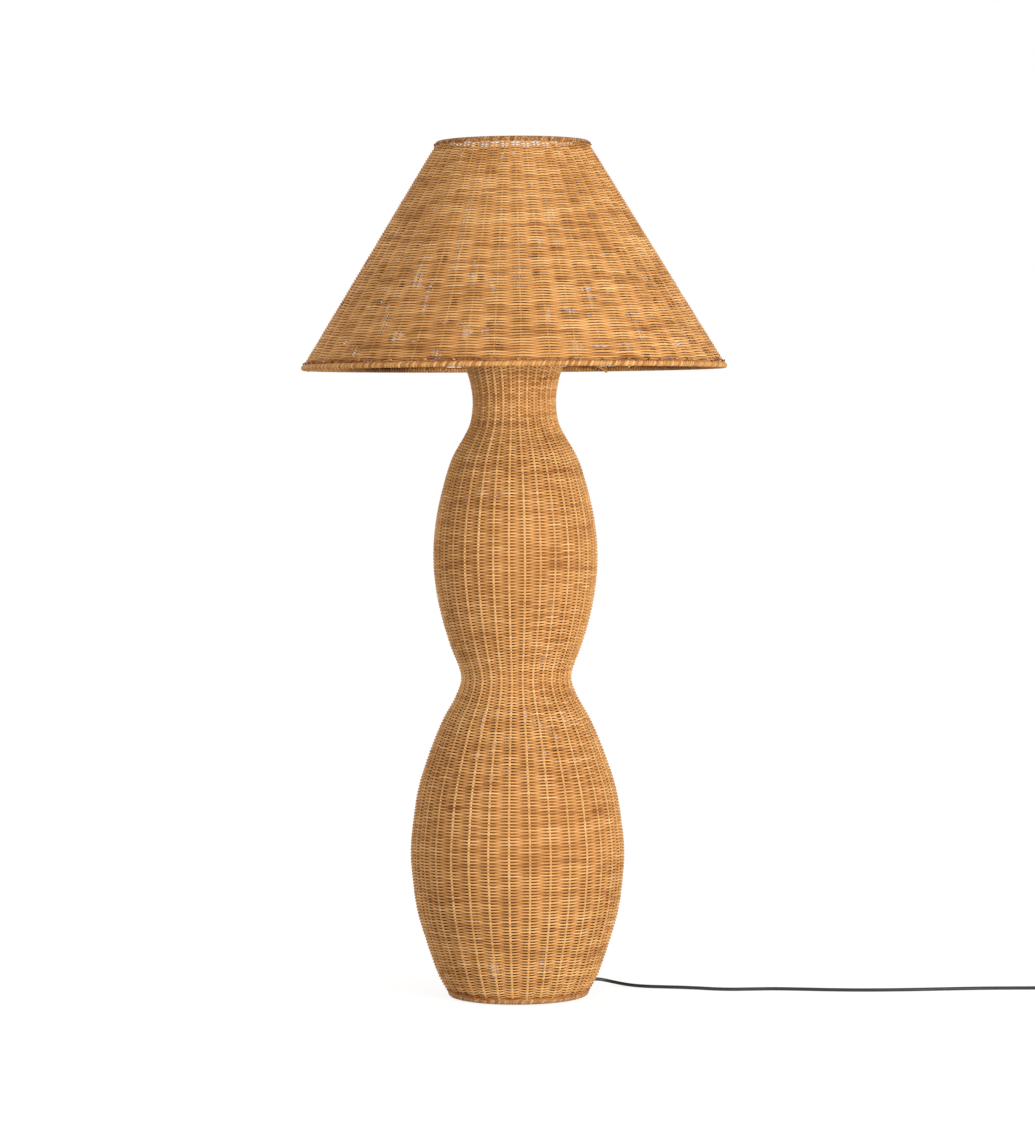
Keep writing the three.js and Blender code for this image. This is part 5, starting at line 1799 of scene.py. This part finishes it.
@dataclass
class Binding:
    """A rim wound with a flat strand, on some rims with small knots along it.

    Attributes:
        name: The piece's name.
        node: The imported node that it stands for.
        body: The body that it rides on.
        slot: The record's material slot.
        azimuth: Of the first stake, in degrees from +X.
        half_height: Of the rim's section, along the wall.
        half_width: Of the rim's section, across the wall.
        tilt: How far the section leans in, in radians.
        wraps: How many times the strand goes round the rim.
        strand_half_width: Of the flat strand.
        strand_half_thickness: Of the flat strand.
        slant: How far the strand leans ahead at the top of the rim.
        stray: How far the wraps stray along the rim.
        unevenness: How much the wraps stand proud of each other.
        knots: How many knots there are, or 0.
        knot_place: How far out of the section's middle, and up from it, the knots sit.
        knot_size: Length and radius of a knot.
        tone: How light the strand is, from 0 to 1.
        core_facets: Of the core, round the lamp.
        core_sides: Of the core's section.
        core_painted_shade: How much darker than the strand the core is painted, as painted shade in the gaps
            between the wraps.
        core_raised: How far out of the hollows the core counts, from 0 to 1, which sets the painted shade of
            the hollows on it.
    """

    name: str
    node: str
    body: str
    slot: str
    azimuth: float
    half_height: float
    half_width: float
    tilt: float
    wraps: int
    strand_half_width: float
    strand_half_thickness: float = 0.65 * MM
    slant: float = 0.0
    stray: float = 1.0 * MM
    unevenness: float = 0.25 * MM
    knots: int = 0
    knot_place: tuple[float, float] = (0.0, 0.0)
    knot_size: tuple[float, float] = (3 * MM, 0.9 * MM)
    tone: float = 0.5
    core_facets: int = 96
    core_sides: int = 12
    core_painted_shade: float = 0.25
    core_raised: float = 0.5

    def across(self, out: float, up: float) -> tuple[float, float]:
        """Finds the radius and height of a place in the rim's section.

        Args:
            out: How far out of the section's middle it is, square to the wall.
            up: How far up the wall it is.

        Returns:
            The radius and the height.
        """
        corners = section(self.node, self.azimuth)
        radius, height = (corners.min(0) + corners.max(0)) / 2
        lean, rise = math.sin(self.tilt), math.cos(self.tilt)
        return float(radius + out * rise - up * lean), float(height + out * lean + up * rise)

    def core(self) -> bpy.types.Object:
        """Makes the solid ring inside the wraps, painted a little darker than they are as painted shade in
        the gaps between them.

        Returns:
            The ring.
        """
        inset = self.strand_half_thickness + self.unevenness / 2
        outline = []
        for k in range(self.core_sides):
            angle = TURN * k / self.core_sides
            out = (self.half_width - inset) * math.cos(angle)
            up = (self.half_height - inset) * math.sin(angle)
            outline.append(self.across(out, up))
        core = turned(f"{self.name}_core", outline, self.core_facets)
        # Painted shade: the core is made darker than the wraps, so the gaps between them look shaded.
        for name, value in (("tone", self.tone - self.core_painted_shade), ("raised", self.core_raised)):
            layer = core.data.attributes.new(name, "FLOAT", "POINT")
            layer.data.foreach_set("value", np.full(len(core.data.vertices), value, np.float32))
        return core

    def build(self, finish: Finish, wraps: WrapTree, knots: KnotTree) -> None:
        """Makes the wound strand, the core that it is wound on, and the knots.

        Args:
            finish: The core's finish.
            wraps: The wound strand's tree.
            knots: The knots' tree.
        """
        radius, height = self.across(0, 0)
        inset = self.strand_half_thickness + self.unevenness
        axis = [(0, 0, 0), (0, 0, 1)]
        pieces = [dressed(self.core(), finish), grown(f"{self.name}_wrap", axis, wraps, {
            "Ring Radius": radius, "Ring Height": height, "Tilt": self.tilt,
            "Half Height": self.half_height - inset, "Half Width": self.half_width - inset,
            "Wraps": self.wraps, "Strand Half Width": self.strand_half_width,
            "Strand Half Thickness": self.strand_half_thickness, "Unevenness": self.unevenness,
            "Slant": self.slant, "Stray": self.stray, "Tone": self.tone,
        })]
        if self.knots:
            radius, height = self.across(*self.knot_place)
            pieces.append(grown(f"{self.name}_knots", axis, knots, {
                "Ring Radius": radius, "Ring Height": height, "Tilt": self.tilt, "Knots": self.knots,
                "Knot Length": self.knot_size[0], "Knot Radius": self.knot_size[1],
            }))
        for piece in pieces:
            settle(piece, self.body, self.slot, self.node)


# Shade frame, lampholder and bulb


def ring_outline(bore: float, radius: float, low: float, high: float) -> list[tuple[float, float]]:
    """Draws the square section of a flat ring."""
    return [(bore, low), (radius, low), (radius, high), (bore, high)]


@dataclass
class ShadeFrame:
    """The wires that carry the shade, and the ring that sits on the lampholder.

    Attributes:
        azimuth: How far the frame is turned, in degrees.
        rib: Radius and height of both ends of a rib.
        rib_radius: Of a rib's wire.
        arm: Radius and height of points along an arm.
        arm_radius: Of an arm's wire.
        ring: Bore, radius, underside and top of the fitter ring.
        ribs: How many ribs there are.
        arms: How many arms there are.
        first_arm: How far the first arm is turned from the first rib, in degrees.
    """

    azimuth: float
    rib: Corners = ((0.28771, 0.8853), (0.10267, 1.18833))
    rib_radius: float = 1.5 * MM
    arm: Corners = ((0.0272, 0.94955), (0.0423, 0.94955), (0.28938, 0.87987))
    arm_radius: float = 2 * MM
    ring: tuple[float, float, float, float] = (0.0205, 0.028, 0.9483, 0.9508)
    ribs: int = 6
    arms: int = 3
    first_arm: float = 60.0

    def build(self) -> None:
        """Makes the ribs, the arms and the ring."""
        for k in range(self.ribs):
            points = at_azimuth(self.rib, self.azimuth + 360 * k / self.ribs)
            rib = wire(f"shade_wire_{k + 1}", [points], self.rib_radius, SHADE_WIRE)
            settle(rib, "shade", "frame_steel", f"shade_rib_{k + 1}")
        for k in range(self.arms):
            azimuth = self.azimuth + self.first_arm + 360 * k / self.arms
            points = smooth_line(at_azimuth(self.arm, azimuth), step=6 * MM)
            arm = wire(f"shade_arm_{k + 1}", [points], self.arm_radius, SHADE_WIRE)
            settle(arm, "shade", "frame_steel", f"fitter_arm_{k + 1}")
        ring = turned("shade_ring", rounded(ring_outline(*self.ring), cut=0.6 * MM), facets=72)
        settle(dressed(ring, SHADE_WIRE), "shade", "frame_steel", "fitter_ring")


@dataclass
class Lampholder:
    """The lampholder: its cap, its threaded barrel and the ring that clamps the shade.

    Attributes:
        radius: Of the barrel.
        bore: Of the barrel.
        barrel: Heights of the barrel's ends.
        flange: Radius, underside and top of the flange that the shade rests on.
        cap: Radius and height of the cap's corners.
        clamp: Bore, radius, underside and top of the clamp ring.
        thread_pitch: Of the barrel's thread.
        thread_depth: Of the barrel's thread.
        knurls: How many grooves the clamp ring has.
        knurl_depth: Of those grooves.
    """

    radius: float = 0.02
    bore: float = 0.0173
    barrel: tuple[float, float] = (0.942, 0.986)
    flange: tuple[float, float, float] = (0.026, 0.945, 0.948)
    cap: Corners = (
        (0.0053, 0.9107), (0.0085, 0.9107), (0.0085, 0.9207), (0.02, 0.9322), (0.02, 0.9417), (0.015, 0.9417),
        (0.015, 0.9322), (0.0053, 0.921),
    )
    clamp: tuple[float, float, float, float] = (0.0203, 0.0275, 0.9511, 0.9591)
    thread_pitch: float = 2.2 * MM
    thread_depth: float = 0.6 * MM
    knurls: int = 40
    knurl_depth: float = 0.9 * MM

    def barrel_outline(self) -> list[tuple[float, float]]:
        """Draws half of the barrel's section, with its thread above the flange.

        Returns:
            Radius and height of its corners.
        """
        low, high = self.barrel
        reach, flange_low, flange_high = self.flange
        outline = [(self.bore, low), (self.radius, low), (self.radius, flange_low), (reach, flange_low)]
        outline += [(reach, flange_high), (self.radius, flange_high)]
        for k in range(int((high - flange_high) / self.thread_pitch)):
            z = flange_high + (k + 0.5) * self.thread_pitch
            outline += [(self.radius, z), (self.radius - self.thread_depth, z + self.thread_pitch / 2)]
        return [*outline, (self.radius - self.thread_depth, high), (self.bore, high)]

    def build(self) -> None:
        """Makes the cap, the barrel and the clamp ring."""
        cap = turned("holder_cap_shell", rounded(self.cap, cut=1.6 * MM, steps=4), facets=64)
        settle(dressed(cap, BLACK_PLASTIC), "lamp", "black_plastic", "holder_cap")
        outline = rounded(self.barrel_outline(), cut=0.3 * MM, steps=1)
        barrel = turned("holder_barrel_shell", outline, facets=64)
        settle(dressed(barrel, BLACK_PLASTIC), "lamp", "black_plastic", "holder_barrel")
        outline = rounded(ring_outline(*self.clamp), cut=0.8 * MM)
        facets = 6 * self.knurls
        clamp = turned("clamp_ring_knurled", outline, facets, flute=self.knurl_depth, flutes=self.knurls)
        settle(dressed(clamp, BLACK_PLASTIC), "clamp_ring", "black_plastic", "shade_clamp_ring")


@dataclass
class Bulb:
    """The bulb's glass.

    Attributes:
        low: Height of the cap's top, where the glass starts.
        height: Of the glass.
        radius: Of the glass.
        neck: Radius and height of the glass inside the cap.
        outline_shares: Shares of the height and of the radius along the glass.
    """

    low: float = 0.9768
    height: float = 0.082
    radius: float = 0.03
    neck: tuple[float, float] = (0.0124, 0.963)
    outline_shares: Corners = (
        (0.005, 0.42), (0.07, 0.46), (0.16, 0.53), (0.3, 0.7), (0.45, 0.9), (0.6, 1), (0.78, 0.92),
        (0.91, 0.66), (0.98, 0.33), (1, 0),
    )

    def build(self) -> None:
        """Makes the glass."""
        corners = [(self.radius * r, self.low + self.height * z) for z, r in self.outline_shares]
        outer = smooth_line(corners, step=2 * MM)
        outline = [(0, self.neck[1]), self.neck, *outer.tolist()]
        outline[-1] = (0, self.low + self.height)
        glass = dressed(turned("bulb_globe", outline, facets=64), BULB_GLASS)
        settle(glass, "bulb", "bulb_glass", "bulb_glass")


# Lamp


@dataclass
class RattanLamp:
    """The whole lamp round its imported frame.

    Attributes:
        body_azimuth: Of the body's first stake, in degrees from +X.
        shade_azimuth: Of the shade's first stake, in degrees from +X.
        shade_slope: Run and rise of the shade's wall.
        front: Azimuth of the lamp's front, in degrees from +X.
        finishes: The finish of each material slot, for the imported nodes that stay.
    """

    body_azimuth: float = -94.6
    shade_azimuth: float = -87.9
    shade_slope: tuple[float, float] = (190.5, 312.0)
    front: float = -90.0
    finishes: dict[str, Finish] = field(default_factory=lambda: {
        "rattan_weave": RATTAN, "rattan_dark": RATTAN_DARK, "frame_steel": STEEL, "zinc": ZINC,
        "brass": BRASS, "black_plastic": BLACK_PLASTIC, "ceramic": CERAMIC, "bulb_glass": BULB_GLASS,
        "rubber": RUBBER, "lead_sheath": SHEATH,
    })

    def weaves(self) -> list[Weave]:
        """Lists the woven surfaces.

        Returns:
            The body's and the shade's weave.
        """
        body = Weave(
            name="body", node="body_weave", body="lamp", stakes=32, azimuth=self.body_azimuth,
            row_pitch=2.13 * MM, strand_radius=1.3 * MM, stake_radius=1.7 * MM, wall=7 * MM, bands=4,
            stake_tone_and_shade=0.7,
            looks={
                "Waver": 1.4 * MM, "Waver Size": 55 * MM, "Streak": 1.1, "Patch": 0.5, "Seed": 2.0,
                "Edge Rows": 2.5, "Edge Painted Shade": -0.25,
            },
        )
        shade = Weave(
            name="shade", node="shade_weave", body="shade", stakes=48, azimuth=self.shade_azimuth,
            row_pitch=2.1 * MM, strand_radius=1.38 * MM, stake_radius=1.1 * MM, wall=5.6 * MM, bands=3,
            # The shade's stakes are painted dark: painted shade behind the strands.
            stake_tone_and_shade=0.3,
            looks={
                "Waver": 2.2 * MM, "Waver Size": 50 * MM, "Streak": 1.1, "Patch": 0.6, "Seed": 11.0,
                "Looseness": 4.5, "Loose Size": 16 * MM, "Loose From": 0.58, "Loose Top": 0.34,
                "Edge Rows": 3.2, "Edge Painted Shade": -0.3,
            },
        )
        return [body, shade]

    def bindings(self) -> list[tuple[Binding, Finish]]:
        """Lists the wound rims.

        Returns:
            The four rims, each with its finish.
        """
        lean = math.atan2(*self.shade_slope)
        low = Binding(
            "shade_low_rim", "shade_low_binding", "shade", "rattan_weave", azimuth=self.shade_azimuth,
            half_height=4.1 * MM, half_width=4.0 * MM, tilt=lean, wraps=420, strand_half_width=1.95 * MM,
            slant=1.0 * MM, stray=1.6 * MM, unevenness=0.15 * MM, strand_half_thickness=0.4 * MM, tone=0.42,
            knots=96, knot_place=(3.6 * MM, 5.0 * MM), knot_size=(5 * MM, 1.1 * MM),
        )
        top = Binding(
            "shade_top_rim", "shade_top_binding", "shade", "rattan_dark", azimuth=self.shade_azimuth,
            half_height=4.1 * MM, half_width=3.6 * MM, tilt=lean, wraps=140, strand_half_width=2.05 * MM,
            slant=0.8 * MM, stray=1.4 * MM, unevenness=0.12 * MM, strand_half_thickness=0.35 * MM, tone=0.55,
            knots=104, knot_place=(3.2 * MM, -3.2 * MM), knot_size=(3.6 * MM, 1.0 * MM),
        )
        foot = Binding(
            "body_foot_rim", "body_foot_binding", "lamp", "rattan_dark", azimuth=self.body_azimuth,
            half_height=4.3 * MM, half_width=4.2 * MM, tilt=0.0, wraps=150, strand_half_width=1.8 * MM,
            slant=1.2 * MM, strand_half_thickness=0.4 * MM, tone=0.6,
        )
        mouth = Binding(
            "body_mouth_rim", "body_mouth_binding", "lamp", "rattan_dark", azimuth=self.body_azimuth,
            half_height=4.4 * MM, half_width=4.4 * MM, tilt=0.0, wraps=130, strand_half_width=1.5 * MM,
            slant=1.5 * MM,
        )
        return [(low, RATTAN), (top, RATTAN_DARK), (foot, RATTAN_DARK), (mouth, RATTAN_DARK)]

    def dress_nodes(self) -> None:
        """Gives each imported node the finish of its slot."""
        slots = {part["node"]: part["material_slot"] for part in frame["record"]["subparts"]}
        for name, node in frame["nodes"].items():
            node.data.materials.clear()
            node.data.materials.append(self.finishes[slots[name]].material())

    def build(self) -> None:
        """Builds the whole lamp."""
        MainsLead().build()
        self.dress_nodes()
        strands, stakes = StrandTree(RATTAN.material()), StakeTree(RATTAN.material())
        for weave in self.weaves():
            weave.build(strands, stakes)
        wraps = {finish.name: WrapTree(finish.material()) for finish in (RATTAN, RATTAN_DARK)}
        knots = KnotTree(RATTAN_DARK.material())
        for binding, finish in self.bindings():
            binding.build(finish, wraps[finish.name], knots)
        ShadeFrame(self.shade_azimuth - self.front).build()
        Lampholder().build()
        Bulb().build()


def main() -> None:
    """Builds the studio and the lamp."""
    logging.basicConfig(level=logging.INFO, format="%(message)s")
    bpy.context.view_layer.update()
    Studio().build()
    RattanLamp().build()
    bpy.context.view_layer.update()


if __name__ == "__main__":
    main()
